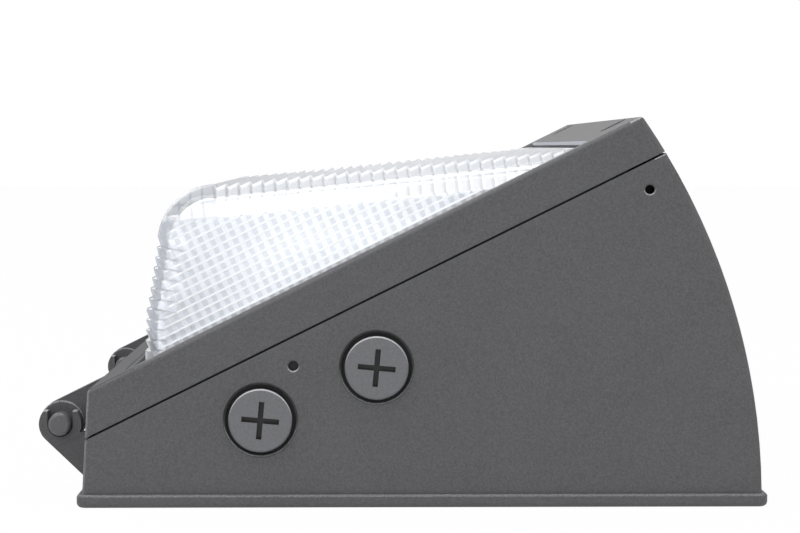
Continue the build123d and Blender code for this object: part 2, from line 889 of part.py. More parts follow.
screw_travel = screw_turns * screw_pitch
head_plane = slope_plane(-recess_depth)
ring_top = -recess_depth - ring_web - screw_travel - ring_travel_gap
for side, name in ((0, "near"), (1, "far")):
    with BuildPart() as door_screw:
        with BuildSketch(head_plane):
            with Locations(screw_places[side]):
                Circle(screw_head_radius)
        extrude(amount=screw_head_height)
        head_edges = door_screw.edges().filter_by(GeomType.CIRCLE)
        chamfer(head_edges.sort_by_distance(slope_space(*screw_places[side], 0))[0], screw_chamfer)
        with BuildSketch(head_plane):
            with Locations(screw_places[side]):
                Circle(screw_core_radius)
        extrude(amount=casing_front - screw_into_casing + recess_depth)
        with BuildSketch(slope_plane(ring_top + ring_running_gap)):
            with Locations(screw_places[side]):
                Circle(screw_head_radius)
                Circle(screw_core_radius - ring_groove, mode=Mode.SUBTRACT)
        extrude(amount=-(ring_thickness + 2 * ring_running_gap), mode=Mode.SUBTRACT)
        with BuildSketch(slope_plane(screw_head_height - recess_depth)):
            with Locations(screw_places[side]):
                RegularPolygon(screw_hex / 2, 6, major_radius=False)
        extrude(amount=-screw_hex_depth, mode=Mode.SUBTRACT)
    door_screw.part.label = f"door_screw_{name}"
    export_step(door_screw.part, f"parts/door_screw_{name}.step")
    with BuildPart() as screw_ring:
        with BuildSketch(slope_plane(ring_top)):
            with Locations(screw_places[side]):
                Circle(ring_radius)
                Circle(screw_core_radius - ring_groove + ring_running_gap, mode=Mode.SUBTRACT)
        extrude(amount=-ring_thickness)
    screw_ring.part.label = f"screw_ring_{name}"
    export_step(screw_ring.part, f"parts/screw_ring_{name}.step")

# ---- Conduit plugs and the seals round them ----

with BuildPart() as conduit_plugs:
    for side in (-1, 1):
        with BuildSketch(side_plane(side * (body_half + plug_proud))):
            with Locations(*entry_points):
                Circle(plug_radius)
        extrude(amount=side * (plug_proud + entry_mouth_depth))
        outer = side * (body_half + plug_proud)
        edges = conduit_plugs.edges()
        fillet(edges.filter_by_position(Axis.Y, outer - plug_thread_gap, outer + plug_thread_gap), plug_round)
        with BuildSketch(side_plane(side * (body_half - entry_mouth_depth))):
            with Locations(*entry_points):
                Circle(plug_thread_radius - plug_thread_gap)
        extrude(amount=side * (entry_boss_depth + wall - entry_mouth_depth - plug_end_gap))
        with BuildSketch(side_plane(side * (body_half + plug_proud))):
            with Locations(*entry_points):
                Rectangle(plug_slot_length, plug_slot_width, rotation=plug_slot_turn)
                Rectangle(plug_slot_width, plug_slot_length, rotation=plug_slot_turn)
        extrude(amount=side * plug_slot_depth, mode=Mode.SUBTRACT)
conduit_plugs.part.label = "conduit_plugs"
export_step(conduit_plugs.part, "parts/conduit_plugs.step")

with BuildPart() as plug_seals:
    for side in (-1, 1):
        with BuildSketch(side_plane(side * (body_half - entry_mouth_depth))):
            with Locations(*entry_points):
                Circle(entry_mouth_radius - seal_gap)
                Circle(plug_radius + seal_gap, mode=Mode.SUBTRACT)
        extrude(amount=-side * seal_thickness)
plug_seals.part.label = "plug_seals"
export_step(plug_seals.part, "parts/plug_seals.step")

# ---- Gear tray: a folded white pan on four lugs, which carries the LED board ----

board_low = board_along - board_length / 2
board_high = board_along + board_length / 2
board_screw_row = board_length / 2 - board_screw_inset
board_screw_column = board_width / 2 - board_screw_inset
board_screw_places = [
    (board_along + row * board_screw_row, column * board_screw_column)
    for row in (-1, 1)
    for column in (-1, 0, 1)
]

lip_cut_width = 2 * (tab_edge - tray_half_width) + tray_tab_reach
with BuildPart() as gear_tray:
    with BuildSketch(slope_plane(tray_under)):
        slope_rectangle(tray_low, tray_high, tray_half_width)
        with Locations(*tab_places):
            Rectangle(tray_tab_length, tray_tab_reach)
        with Locations(*tab_places, *board_screw_places):
            Circle(small_screw_thread, mode=Mode.SUBTRACT)
        with Locations((grommet_along, grommet_y)):
            Circle(grommet_radius + lead_hole_gap, mode=Mode.SUBTRACT)
    extrude(amount=tray_thickness)
    with BuildSketch(slope_plane(tray_face_depth)):
        slope_rectangle(tray_low, tray_high, tray_half_width)
        slope_rectangle(
            tray_low + tray_thickness,
            tray_high - tray_thickness,
            tray_half_width - tray_thickness,
            mode=Mode.SUBTRACT,
        )
        for along, y in tab_places:
            with Locations((along, y)):
                Rectangle(tray_tab_length + 2 * tray_thickness, lip_cut_width, mode=Mode.SUBTRACT)
    extrude(amount=tray_lip)
gear_tray.part.label = "gear_tray"
export_step(gear_tray.part, "parts/gear_tray.step")

with BuildPart() as tray_screws:
    pan_screws(
        slope_plane(tray_face_depth),
        tab_places,
        small_screw_core,
        small_screw_length,
        small_screw_head,
        small_screw_head_height,
        small_screw_slot,
    )
tray_screws.part.label = "tray_screws"
export_step(tray_screws.part, "parts/tray_screws.step")

with BuildPart() as tray_grommet:
    for out, radius, depth in (
        (tray_face_depth + grommet_flange, grommet_flange_radius, grommet_flange),
        (tray_face_depth, grommet_radius, tray_thickness),
        (tray_under, grommet_flange_radius, grommet_flange),
    ):
        with BuildSketch(slope_plane(out)):
            with Locations((grommet_along, grommet_y)):
                Circle(radius)
                Circle(grommet_bore, mode=Mode.SUBTRACT)
        extrude(amount=-depth)
tray_grommet.part.label = "tray_grommet"
export_step(tray_grommet.part, "parts/tray_grommet.step")

# ---- LED board, its LEDs, its terminal block and its screws ----

board_face = tray_face_depth + board_thickness
connector_along = board_high - connector_inset
connector_mouth = connector_along + connector_length / 2
connector_wire_out = board_face + connector_height / 2

with BuildPart() as led_board:
    with BuildSketch(slope_plane(tray_face_depth)):
        slope_rectangle(board_low, board_high, board_width / 2)
        with Locations(*board_screw_places):
            Circle(small_screw_hole, mode=Mode.SUBTRACT)
    extrude(amount=board_thickness)
led_board.part.label = "led_board"
export_step(led_board.part, "parts/led_board.step")

with BuildPart() as leds:
    with BuildSketch(slope_plane(board_face)):
        with Locations((board_along, 0)):
            with GridLocations(led_row_pitch, led_column_pitch, led_rows, led_columns):
                Rectangle(led_size, led_size)
    extrude(amount=led_base)
    with BuildSketch(slope_plane(board_face + led_base)):
        with Locations((board_along, 0)):
            with GridLocations(led_row_pitch, led_column_pitch, led_rows, led_columns):
                Circle(led_dome)
    extrude(amount=led_dome * led_dome_share, taper=led_dome_taper)
leds.part.label = "leds"
export_step(leds.part, "parts/leds.step")

with BuildPart() as board_connector:
    with BuildSketch(slope_plane(board_face)):
        with Locations((connector_along, grommet_y)):
            Rectangle(connector_length, connector_width)
    extrude(amount=connector_height)
    block = board_connector.faces().sort_by(lambda face: slope_plane(0).to_local_coords(face.center()).X)[-1]
    with BuildSketch(Plane(block)):
        with GridLocations(connector_wire_pitch, connector_wire_pitch, 2, 1):
            Circle(led_lead / 2 + lead_hole_gap)
    extrude(amount=-connector_length / 2, mode=Mode.SUBTRACT)
board_connector.part.label = "board_connector"
export_step(board_connector.part, "parts/board_connector.step")

with BuildPart() as board_screws:
    pan_screws(
        slope_plane(board_face),
        board_screw_places,
        small_screw_core,
        board_screw_length,
        small_screw_head,
        small_screw_head_height,
        small_screw_slot,
    )
board_screws.part.label = "board_screws"
export_step(board_screws.part, "parts/board_screws.step")

# ---- Driver: a steel case with ears and a lid, and the circuit board in it ----

case_low = driver_x - driver_length / 2
case_top = driver_floor + driver_height
circuit_bottom = driver_floor + driver_sheet + circuit_standoff
lead_z = driver_floor + lead_height
lead_places = [(driver_x - lead_spacing / 2, lead_z), (driver_x + lead_spacing / 2, lead_z)]

with BuildPart() as driver_case:
    with BuildSketch(Plane.XY.offset(driver_floor)):
        with Locations((driver_x, 0)):
            Rectangle(driver_length, driver_width + 2 * driver_ear)
        with Locations(*driver_screw_places):
            Circle(driver_screw_hole, mode=Mode.SUBTRACT)
    extrude(amount=driver_sheet)
    with BuildSketch(Plane.XY.offset(driver_floor + driver_sheet)):
        with Locations((driver_x, 0)):
            Rectangle(driver_length, driver_width)
            Rectangle(driver_length - 2 * driver_sheet, driver_width - 2 * driver_sheet, mode=Mode.SUBTRACT)
    extrude(amount=driver_height - 2 * driver_sheet - lid_gap)
    with BuildSketch(Plane.XY.offset(driver_floor + driver_sheet)):
        with Locations((driver_x, 0)):
            with GridLocations(circuit_post_x, circuit_post_y, 2, 2):
                Circle(circuit_post_radius)
    extrude(amount=circuit_standoff)
    with BuildSketch(Plane.XZ):
        with Locations(*lead_places):
            Circle(supply_lead / 2 + lead_hole_gap)
    extrude(amount=driver_width, both=True, mode=Mode.SUBTRACT)
driver_case.part.label = "driver_case"
export_step(driver_case.part, "parts/driver_case.step")

with BuildPart() as driver_lid:
    with BuildSketch(Plane.XY.offset(case_top)):
        with Locations((driver_x, 0)):
            Rectangle(driver_length, driver_width)
    extrude(amount=-driver_sheet)
    with BuildSketch(Plane.XY.offset(case_top - driver_sheet)):
        inner_length = driver_length - 2 * (driver_sheet + lid_gap)
        inner_width = driver_width - 2 * (driver_sheet + lid_gap)
        with Locations((driver_x, 0)):
            Rectangle(inner_length, inner_width)
            Rectangle(inner_length - 2 * driver_sheet, inner_width, mode=Mode.SUBTRACT)
    extrude(amount=-lid_lip)
driver_lid.part.label = "driver_lid"
export_step(driver_lid.part, "parts/driver_lid.step")

with BuildPart() as driver_circuit:
    with BuildSketch(Plane.XY.offset(circuit_bottom)):
        with Locations((driver_x, 0)):
            Rectangle(
                driver_length - 2 * (driver_sheet + circuit_gap),
                driver_width - 2 * (driver_sheet + circuit_gap),
            )
    extrude(amount=circuit_thickness)
driver_circuit.part.label = "driver_circuit"
export_step(driver_circuit.part, "parts/driver_circuit.step")

with BuildPart() as driver_components:
    circuit_top = circuit_bottom + circuit_thickness
    for y, width, height in ((choke_y, choke_width, choke_height), (core_y, core_width, core_height)):
        with BuildSketch(Plane.XY.offset(circuit_top)):
            with Locations((driver_x, y)):
                Rectangle(core_length, width)
        extrude(amount=height)
    for y, radius, height in zip(can_places, can_radii, can_heights):
        with BuildSketch(Plane.XY.offset(circuit_top)):
            with Locations((driver_x - can_shift, y)):
                Circle(radius)
        extrude(amount=height)
driver_components.part.label = "driver_components"
export_step(driver_components.part, "parts/driver_components.step")

with BuildPart() as driver_screws:
    pan_screws(
        Plane.XY.offset(driver_floor + driver_sheet),
        driver_screw_places,
        driver_screw_core,
        driver_screw_length,
        driver_screw_head,
        driver_screw_head_height,
        small_screw_slot,
    )
driver_screws.part.label = "driver_screws"
export_step(driver_screws.part, "parts/driver_screws.step")

# ---- Twist-on wire connectors, lying on the housing's floor ----

cap_z = floor + cap_floor_gap + cap_mouth_radius
with BuildPart() as wire_connectors:
    for y in cap_places:
        with BuildSketch(Plane.YZ.offset(cap_mouth_x)):
            with Locations((y, cap_z)):
                Circle(cap_mouth_radius)
        with BuildSketch(Plane.YZ.offset(cap_mouth_x - cap_length)):
            with Locations((y, cap_z)):
                Circle(cap_tip_radius)
        loft()
        with BuildSketch(Plane.YZ.offset(cap_mouth_x)):
            with Locations((y, cap_z)):
                Circle(cap_bore_radius)
        with BuildSketch(Plane.YZ.offset(cap_mouth_x - cap_bore_depth)):
            with Locations((y, cap_z)):
                Circle(cap_bore_end_radius)
        loft(mode=Mode.SUBTRACT)
wire_connectors.part.label = "wire_connectors"
export_step(wire_connectors.part, "parts/wire_connectors.step")

# ---- Earth boss's terminal and screw ----

earth_y = earth_place[1]
earth_top = floor + earth_boss_height
earth_barrel_z = earth_top + earth_barrel_radius
barrel_start = earth_x - earth_terminal_radius
with BuildPart() as earth_terminal:
    with BuildSketch(Plane.XY.offset(earth_top)):
        with Locations(earth_place):
            Circle(earth_terminal_radius)
        with Locations((barrel_start, earth_y)):
            Rectangle(2 * earth_barrel_radius, 2 * earth_barrel_radius)
        with Locations(earth_place):
            Circle(driver_screw_hole, mode=Mode.SUBTRACT)
    extrude(amount=earth_terminal_thickness)
    with BuildSketch(Plane.YZ.offset(barrel_start)):
        with Locations((earth_y, earth_barrel_z)):
            Circle(earth_barrel_radius)
    extrude(amount=-earth_barrel_length)
    with BuildSketch(Plane.YZ.offset(barrel_start - earth_barrel_length)):
        with Locations((earth_y, earth_barrel_z)):
            Circle(led_lead / 2 + lead_hole_gap / 2)
    extrude(amount=earth_barrel_length / 2, mode=Mode.SUBTRACT)
earth_terminal.part.label = "earth_terminal"
export_step(earth_terminal.part, "parts/earth_terminal.step")

with BuildPart() as earth_screw:
    pan_screws(
        Plane.XY.offset(earth_top + earth_terminal_thickness),
        [earth_place],
        driver_screw_core,
        earth_boss_height,
        driver_screw_head - lead_hole_gap,
        driver_screw_head_height,
        small_screw_slot,
    )
earth_screw.part.label = "earth_screw"
export_step(earth_screw.part, "parts/earth_screw.step")

# ---- Wires inside the housing ----


def bend_radii(route):
    """The largest arc for each bend: 0.45 of its shorter run over the tangent of half the turn."""
    points = [Vector(*point) for point in route]
    radii = []
    for before, corner, after in zip(points, points[1:], points[2:]):
        half_turn = radians((corner - before).get_angle(after - corner)) / 2
        shorter = min((corner - before).length, (after - corner).length)
        radii.append(run_share * shorter / tan(half_turn))
    return radii


def make_wire(name, route, thickness):
    """A round wire along straight runs joined by arcs, in a file of its own."""
    radii = bend_radii(route)
    with BuildPart() as wire:
        with BuildLine() as line:
            path = FilletPolyline(*route, radius=radii)
        with BuildSketch(Plane(origin=path @ 0, z_dir=path % 0)) as section:
            Circle(thickness / 2)
        sweep(section.sketch, path=path)
    wire.part.label = name
    export_step(wire.part, f"parts/{name}.step")
    print(name, "length", round(path.length, 1), "least radius", round(min(radii), 1))


supply_y = -(driver_width / 2 - driver_sheet - lead_reach_in)
cap_end_x = cap_mouth_x - lead_in_cap
for (start_x, start_z), cap_y, name in zip(lead_places, cap_places, ("black", "white")):
    route = [
        (start_x, supply_y, start_z),
        (start_x, cap_y, start_z),
        (cap_mouth_x + supply_bend, cap_y, cap_z + supply_drop),
        (cap_end_x, cap_y, cap_z),
    ]
    make_wire(f"supply_lead_{name}", route, supply_lead)

earth_end_x = barrel_start - earth_barrel_length
earth_route = [
    (earth_end_x + lead_reach_in, earth_y, earth_barrel_z),
    (earth_end_x - earth_run, earth_y, earth_barrel_z),
    (cap_mouth_x + earth_run, cap_places[2], cap_z),
    (cap_end_x, cap_places[2], cap_z),
]
make_wire("earth_lead", earth_route, led_lead)

for side, (start_x, start_z), name in ((-1, lead_places[0], "red"), (1, lead_places[1], "black")):
    rise_y = grommet_y + side * grommet_wire_pitch / 2
    block_y = grommet_y + side * connector_wire_pitch / 2
    route = [
        (start_x, -supply_y, start_z),
        (start_x, driver_width / 2 + led_run, start_z),
        slope_space(grommet_along, rise_y, tray_under - led_under_tray),
        slope_space(grommet_along, rise_y, tray_face_depth + led_over_tray),
        slope_space(connector_mouth + led_before_block, block_y, connector_wire_out),
        slope_space(connector_mouth - led_in_block, block_y, connector_wire_out),
    ]
    make_wire(f"led_lead_{name}", route, led_lead)
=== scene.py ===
from math import cos, pi, radians, sin, tan

import bmesh
import bpy
from bpy.props import FloatProperty, FloatVectorProperty, PointerProperty
from mathutils import Matrix, Vector


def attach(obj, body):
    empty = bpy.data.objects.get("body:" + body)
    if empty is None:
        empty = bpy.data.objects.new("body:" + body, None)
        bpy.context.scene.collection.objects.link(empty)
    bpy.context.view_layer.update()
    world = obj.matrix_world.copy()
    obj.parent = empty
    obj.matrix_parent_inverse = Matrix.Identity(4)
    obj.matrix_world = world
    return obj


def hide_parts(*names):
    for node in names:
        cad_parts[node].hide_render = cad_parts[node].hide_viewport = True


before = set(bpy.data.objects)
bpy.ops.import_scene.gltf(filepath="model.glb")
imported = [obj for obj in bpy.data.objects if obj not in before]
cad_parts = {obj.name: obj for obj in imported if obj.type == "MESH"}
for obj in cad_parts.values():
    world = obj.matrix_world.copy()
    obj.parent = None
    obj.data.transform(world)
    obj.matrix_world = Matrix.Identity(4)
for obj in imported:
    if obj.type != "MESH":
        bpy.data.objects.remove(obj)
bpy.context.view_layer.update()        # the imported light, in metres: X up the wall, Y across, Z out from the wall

bl_info = {
    "name": "Wall Pack Light",
    "version": (1, 0, 0),
    "blender": (4, 5, 0),
    "location": "3D View > Sidebar > Wall Light",
    "description": "Dresses a wall pack light: its casting, glass refractor, lamp, driver and wiring",
    "category": "Object",
}

# Directions: to the near and the far side of the light, out from the wall, and down it
NEAR = Vector((0.0, -1.0, 0.0))
FAR = Vector((0.0, 1.0, 0.0))
UPRIGHT = Vector((0.0, 0.0, 1.0))
DOWN_THE_WALL = Vector((-1.0, 0.0, 0.0))

# The door's face, which the lamp parts and the door's details lie along
SLOPE = radians(26.3)
SLOPE_FOOT = Vector((-0.105022, 0.0, 0.0369))
ALONG = Vector((cos(SLOPE), 0.0, sin(SLOPE)))
OUT = Vector((-sin(SLOPE), 0.0, cos(SLOPE)))
FACE_END = 0.1923        # where the face's flat ends, along the slope
SEAM_DEPTH = 0.0135      # from the face to the middle of the gap under the door
SEAM_GAP = 0.0006
# The gap's two sides are painted in shade; SEAM_LINE is how far that painted shade spreads
SEAM_LINE = 0.00004      # how far the dark of each side of the gap spreads

# The casing: its wall flange, its sides, and its low wall, which leans inwards as it rises
FLANGE_TOP = 0.0042
FLANGE_HALF = 0.1403
BODY_HALF = 0.1386
LOW_WALL_FOOT = -0.107085
LOW_WALL_LEAN = tan(radians(3.2))

# The bevelled lip over the high end of the glass, where the glass's light is painted on as a highlight
LIP_ALONG = 0.17508
LIP_BEVEL = 0.001
LIP_HALF = 0.13

# Round things on the casing's sides, each by its X, its Z and its radius; plugs close the entries
SIDE_HOLES = ((-0.040498, 0.044473, 0.00155), (0.071025, 0.099591, 0.00145))
ENTRIES = ((-0.050773, 0.027571), (-0.014383, 0.043994))
ENTRY_MOUTHS = [(*place, 0.0111) for place in ENTRIES]
PLUG_RIMS = [(*place, 0.0099) for place in ENTRIES]
PLUG_FACE = 0.141

# The hinge: its axis, the door's knuckles round it, and the open hooks of the casing
HINGE_X, HINGE_Z = -0.117520, 0.022692
KNUCKLE_RADIUS = 0.0072
KNUCKLES = ((HINGE_X, HINGE_Z, KNUCKLE_RADIUS),)
KNUCKLE_ENDS = (-0.10125, 0.10725)
HOOK_TIP = HINGE_Z + 0.0043
HOOK_SIDES = (0.1016, 0.1069)

# How far the painted highlights and painted shade on edges reach from the edge itself
HAIR = 0.0001
SIDE_PAINT = 0.0005
FACE_PAINT = 0.0006
FLANGE_PAINT = 0.0007
CORNER_PAINT = 0.0008
TIP_PAINT = 0.001
ROUND_PAINT = 0.0011
FACE_TIP = 0.003
SEAM_TIP = 0.0012
SEAM_TIP_DEPTH = 0.0007

# The duller band of the door's face in front of the glass, which comes in over about 6 mm
LOW_BAND_END = -0.086
LOW_BAND_SOFTNESS = 160.0

# The glass bowl: its front face, its leaning low wall, and the round between them and its sides
FRONT_TILT = radians(5.7)
FRONT = Vector((cos(FRONT_TILT), 0.0, sin(FRONT_TILT)))
FRONT_OUT = Vector((-sin(FRONT_TILT), 0.0, cos(FRONT_TILT)))
BOWL_CORNER = Vector((-0.082487, 0.0, 0.099429))
LEAN = radians(8.9)
WALL = Vector((sin(LEAN), 0.0, cos(LEAN)))
WALL_OUT = Vector((-cos(LEAN), 0.0, sin(LEAN)))
WALL_NECK = Vector((-0.088975, 0.0, 0.058))
BOWL_HALF = 0.1195
GLASS = 0.005
EDGE_ROUND = 0.007

# Saw teeth round the bowl's edges: along its front, up its low wall and down that wall's foot
STEEP = radians(62.0)
TEETH_START = 0.016
TOOTH_PITCH = 0.0039
FRONT_TEETH = 29
WALL_TEETH_START = 0.003
WALL_PITCH = 0.00333
WALL_RISE = radians(24.0)
WALL_TEETH = 7
FOOT_DROP = 0.0107
FOOT_TEETH = 4

# Fine ribs outside the bowl's sides and flutes inside them, up to a depth under its front: where
# they start, how far they are cut from the first to the last, and how long they are
GRID_DEPTH = 0.0105
RIB_FOOT = 0.0006
RIBS_START = 0.012
RIBS_SPAN = 0.082
RIBS_LENGTH = 0.164
RIB_RISE, RIB_STEEP = radians(11.0), radians(40.0)
FLUTE_TILT = radians(23.6)
FLUTE_ALONG = Vector((cos(FLUTE_TILT), 0.0, sin(FLUTE_TILT)))
FLUTE_FOOT = 0.0236
FLUTES_SPAN = 0.142
FLUTES_LENGTH = 0.08
FLUTES_OVER = 0.001      # how much nearer to the front they reach than the ribs
FLUTE_RISE = radians(12.0)

# Combs that cut teeth, ribs and flutes: how tall they are, how far they run on past an edge's
# round at both its ends, and how deep they are sunk under the glass's own surface
COMB_HEIGHT = 0.002
COMB_REACH = 0.003
COMB_SINK = 0.0001

# Distances under which points are one: where copies of a tooth meet, after a copy, and after a cut
TOUCHING = 0.00001
DOUBLED = 0.000001
SPLINTER = 0.000003

# The stage
FLOOR_DROP = 0.0002
LAMPS_AIM = Vector((0.0, 0.0, 0.05))
WHITE = (1.0, 1.0, 1.0, 1.0)


# ---- Shader maths ----


class Value:
    """One output socket of a node tree; sums on it add the nodes that work them out."""

    def __init__(self, network, socket):
        self.network = network
        self.socket = socket

    def _maths(self, operation, *terms, clamp=False):
        return self.network.add("ShaderNodeMath", {"operation": operation, "use_clamp": clamp}, *terms).out()

    def __add__(self, other):
        return self._maths("ADD", self, other)

    def __radd__(self, other):
        return self._maths("ADD", other, self)

    def __sub__(self, other):
        return self._maths("SUBTRACT", self, other)

    def __rsub__(self, other):
        return self._maths("SUBTRACT", other, self)

    def __mul__(self, other):
        return self._maths("MULTIPLY", self, other)

    def __rmul__(self, other):
        return self._maths("MULTIPLY", other, self)

    def __truediv__(self, other):
        return self._maths("DIVIDE", self, other)

    def above(self, limit):
        return self._maths("GREATER_THAN", self, limit)

    def below(self, limit):
        return self._maths("LESS_THAN", self, limit)

    def between(self, low, high):
        return self.above(low) * self.below(high)

    def near(self, place, reach):
        return (self - place).size().below(reach)

    def clamped(self):
        return self._maths("ADD", self, 0.0, clamp=True)

    def sine(self):
        return self._maths("SINE", self)

    def wrapped(self, period):
        return self._maths("WRAP", self, period, 0.0)

    def size(self):
        return self._maths("ABSOLUTE", self)


class Made:
    """A node that has just been added, with its outputs by name or number."""

    def __init__(self, network, node):
        self.network = network
        self.node = node

    def out(self, name=0):
        return Value(self.network, self.node.outputs[name])


class Network:
    """A node tree under way, with its output node."""

    def __init__(self, tree, output):
        self.tree = tree
        self.tree.nodes.clear()
        self.output = self.tree.nodes.new(output)

    def add(self, kind, settings=None, *values, **named):
        """Adds a node, and feeds its inputs in order, then by name."""
        node = self.tree.nodes.new(kind)
        for setting, value in (settings or {}).items():
            if setting == "stops":
                self._fill_ramp(node, value)
            else:
                setattr(node, setting, value)
        for number, value in enumerate(values):
            self._feed(node.inputs[number], value)
        for name, value in named.items():
            self._feed(node.inputs[name.replace("_", " ")], value)
        return Made(self, node)

    def show(self, surface):
        self.tree.links.new(surface.socket, self.output.inputs["Surface"])

    def seen(self):
        """1 for what is looked at, straight, in a reflection or through glass, and 0 for what only lights."""
        path = self.add("ShaderNodeLightPath")
        return (
            path.out("Is Camera Ray") + path.out("Is Glossy Ray") + path.out("Is Transmission Ray")
        ).clamped()

    def _feed(self, socket, value):
        if isinstance(value, Value):
            self.tree.links.new(value.socket, socket)
        else:
            socket.default_value = value

    def _fill_ramp(self, node, stops):
        elements = node.color_ramp.elements
        while len(elements) > len(stops):
            elements.remove(elements[-1])
        while len(elements) < len(stops):
            elements.new(0.5)
        for element, (position, colour) in zip(elements, stops):
            element.position = position
            element.color = (*colour[:3], 1.0)


class Finish(Network):
    """A material under way: its nodes, its Principled shader and the object's own coordinates."""

    def __init__(self, name, **uniform):
        self.material = bpy.data.materials.new(name)
        self.material.use_nodes = True
        super().__init__(self.material.node_tree, "ShaderNodeOutputMaterial")
        made = self.add("ShaderNodeBsdfPrincipled")
        self.shader = made.node
        self.surface = made.out()
        self.show(self.surface)
        self.place = self.add("ShaderNodeTexCoord").out("Object")
        for socket, value in uniform.items():
            self.shader.inputs[socket.replace("_", " ")].default_value = value

    def feed(self, **sockets):
        for socket, value in sockets.items():
            self._feed(self.shader.inputs[socket.replace("_", " ")], value)

    def noise(self, scale, detail=2.0, roughness=0.5):
        made = self.add(
            "ShaderNodeTexNoise",
            Vector=self.place,
            Scale=scale,
            Detail=detail,
            Roughness=roughness,
        )
        return made.out("Fac" if "Fac" in made.node.outputs else 0)

    def cell_tones(self, scale):
        """Cells of the given number to a metre, each with a grey of its own."""
        cells = self.add("ShaderNodeTexVoronoi", Vector=self.place, Scale=scale).out("Color")
        return self.add("ShaderNodeRGBToBW", {}, cells).out()

    def ramp(self, value, *stops):
        return self.add("ShaderNodeValToRGB", {"stops": stops}, value).out("Color")

    def blend(self, mask, first, second):
        node = self.tree.nodes.new("ShaderNodeMix")
        node.data_type = "RGBA"
        for socket, value in ((0, mask), (6, first), (7, second)):
            full = (*value[:3], 1.0) if isinstance(value, (tuple, list)) else value
            self._feed(node.inputs[socket], full)
        return Value(self, node.outputs[2])

    def bump(self, height, distance, strength):
        made = self.add("ShaderNodeBump", Strength=strength, Distance=distance, Height=height)
        self.feed(Normal=made.out("Normal"))

    def axes(self):
        made = self.add("ShaderNodeSeparateXYZ", {}, self.place)
        return made.out("X"), made.out("Y"), made.out("Z")


def shade(colour, share):
    """A colour made lighter or darker by a share of itself."""
    return tuple(part * share for part in colour)


def along_line(x, z, direction, start):
    """How far a point lies along a direction from a start, in the plane across the light."""
    return x * direction.x + z * direction.z - start.dot(direction)


def discs(x, z, rounds, rim=0.0):
    """Whether a point lies over one of some round things, each widened by a rim."""
    inside = None
    for centre_x, centre_z, radius in rounds:
        aside, above = x - centre_x, z - centre_z
        disc = (aside * aside + above * above).below((radius + rim) ** 2)
        inside = disc if inside is None else inside + disc
    return inside


def crescents(x, z, rounds, rim, width):
    """The low edges of some round things, or with a width under 0 their top edges."""
    moved = [(centre_x, centre_z + width, radius) for centre_x, centre_z, radius in rounds]
    return (discs(x, z, rounds, rim) - discs(x, z, moved, rim)).clamped()


# ---- Finishes ----


class CastPlaces:
    """Places on the casting where highlights or shade are painted, each as a mask of 0 and 1."""

    def __init__(self, finish):
        self.x, self.y, self.z = finish.axes()
        self.across = self.y.size()
        self.out = along_line(self.x, self.z, OUT, SLOPE_FOOT)
        self.along = along_line(self.x, self.z, ALONG, SLOPE_FOOT)

    def painted_edge_highlights(self):
        """Painted highlights on the flange's front edge and the casing's low corners, and fainter on the door's
        side edges.
        """
        flange = self.z.between(FLANGE_TOP - FLANGE_PAINT, FLANGE_TOP + HAIR / 2)
        flange = flange * self.across.above(FLANGE_HALF - ROUND_PAINT)
        from_low_wall = self.x - self.z * LOW_WALL_LEAN - LOW_WALL_FOOT
        corner = from_low_wall.below(CORNER_PAINT)
        corner = corner * self.across.between(BODY_HALF - ROUND_PAINT, BODY_HALF + HAIR)
        face = self.out.above(-FACE_PAINT) * self.across.above(BODY_HALF - SIDE_PAINT)
        return (flange + corner + face * 0.5).clamped()

    def painted_glint_edges(self):
        """Painted glints on the low rims of holes and entries, the tops of knuckles and hooks, and the high
        corners.
        """
        mouths = crescents(self.x, self.z, SIDE_HOLES, rim=0.0004, width=0.0005)
        mouths = mouths + crescents(self.x, self.z, ENTRY_MOUTHS, rim=0.0005, width=0.0006)
        mouths = mouths * self.across.above(BODY_HALF - SIDE_PAINT)
        ends = [self.y.near(end, 4 * HAIR) for end in KNUCKLE_ENDS]
        knuckles = crescents(self.x, self.z, KNUCKLES, rim=HAIR, width=-0.0006) * sum(ends).clamped()
        hooks = self.z.near(HOOK_TIP, 3 * HAIR) * self.x.below(HINGE_X + KNUCKLE_RADIUS)
        hooks = hooks * self.across.between(*HOOK_SIDES)
        face_tip = self.along.above(FACE_END - FACE_TIP) * self.out.above(-FACE_PAINT)
        face_tip = face_tip * self.across.above(BODY_HALF - TIP_PAINT)
        seam_tip = self.along.above(FACE_END - SEAM_TIP) * self.across.above(BODY_HALF - CORNER_PAINT)
        under_line = -SEAM_DEPTH - SEAM_GAP / 2 - SEAM_LINE
        seam_tip = seam_tip * self.out.between(-SEAM_DEPTH - SEAM_TIP_DEPTH, under_line)
        return (mouths + knuckles + hooks + face_tip + seam_tip).clamped()

    def painted_lip_highlight(self):
        """A painted highlight of the glass's light on the bevel over the glass's high end."""
        bevel = self.along.between(LIP_ALONG - HAIR, LIP_ALONG + LIP_BEVEL)
        return bevel * self.out.between(-LIP_BEVEL - HAIR, -HAIR) * self.across.below(LIP_HALF)

    def painted_shade_gaps(self):
        """Painted shade on the two sides of the gap under the door, and in the bores of the side holes."""
        seam = (self.out + SEAM_DEPTH).size().near(SEAM_GAP / 2, SEAM_LINE)
        bores = discs(self.x, self.z, SIDE_HOLES) * self.across.below(BODY_HALF - SIDE_PAINT)
        return (seam + bores).clamped()

    def low_band(self):
        """The door's face in front of the glass."""
        return ((LOW_BAND_END - self.x) * LOW_BAND_SOFTNESS).clamped() * self.out.above(-4 * HAIR)


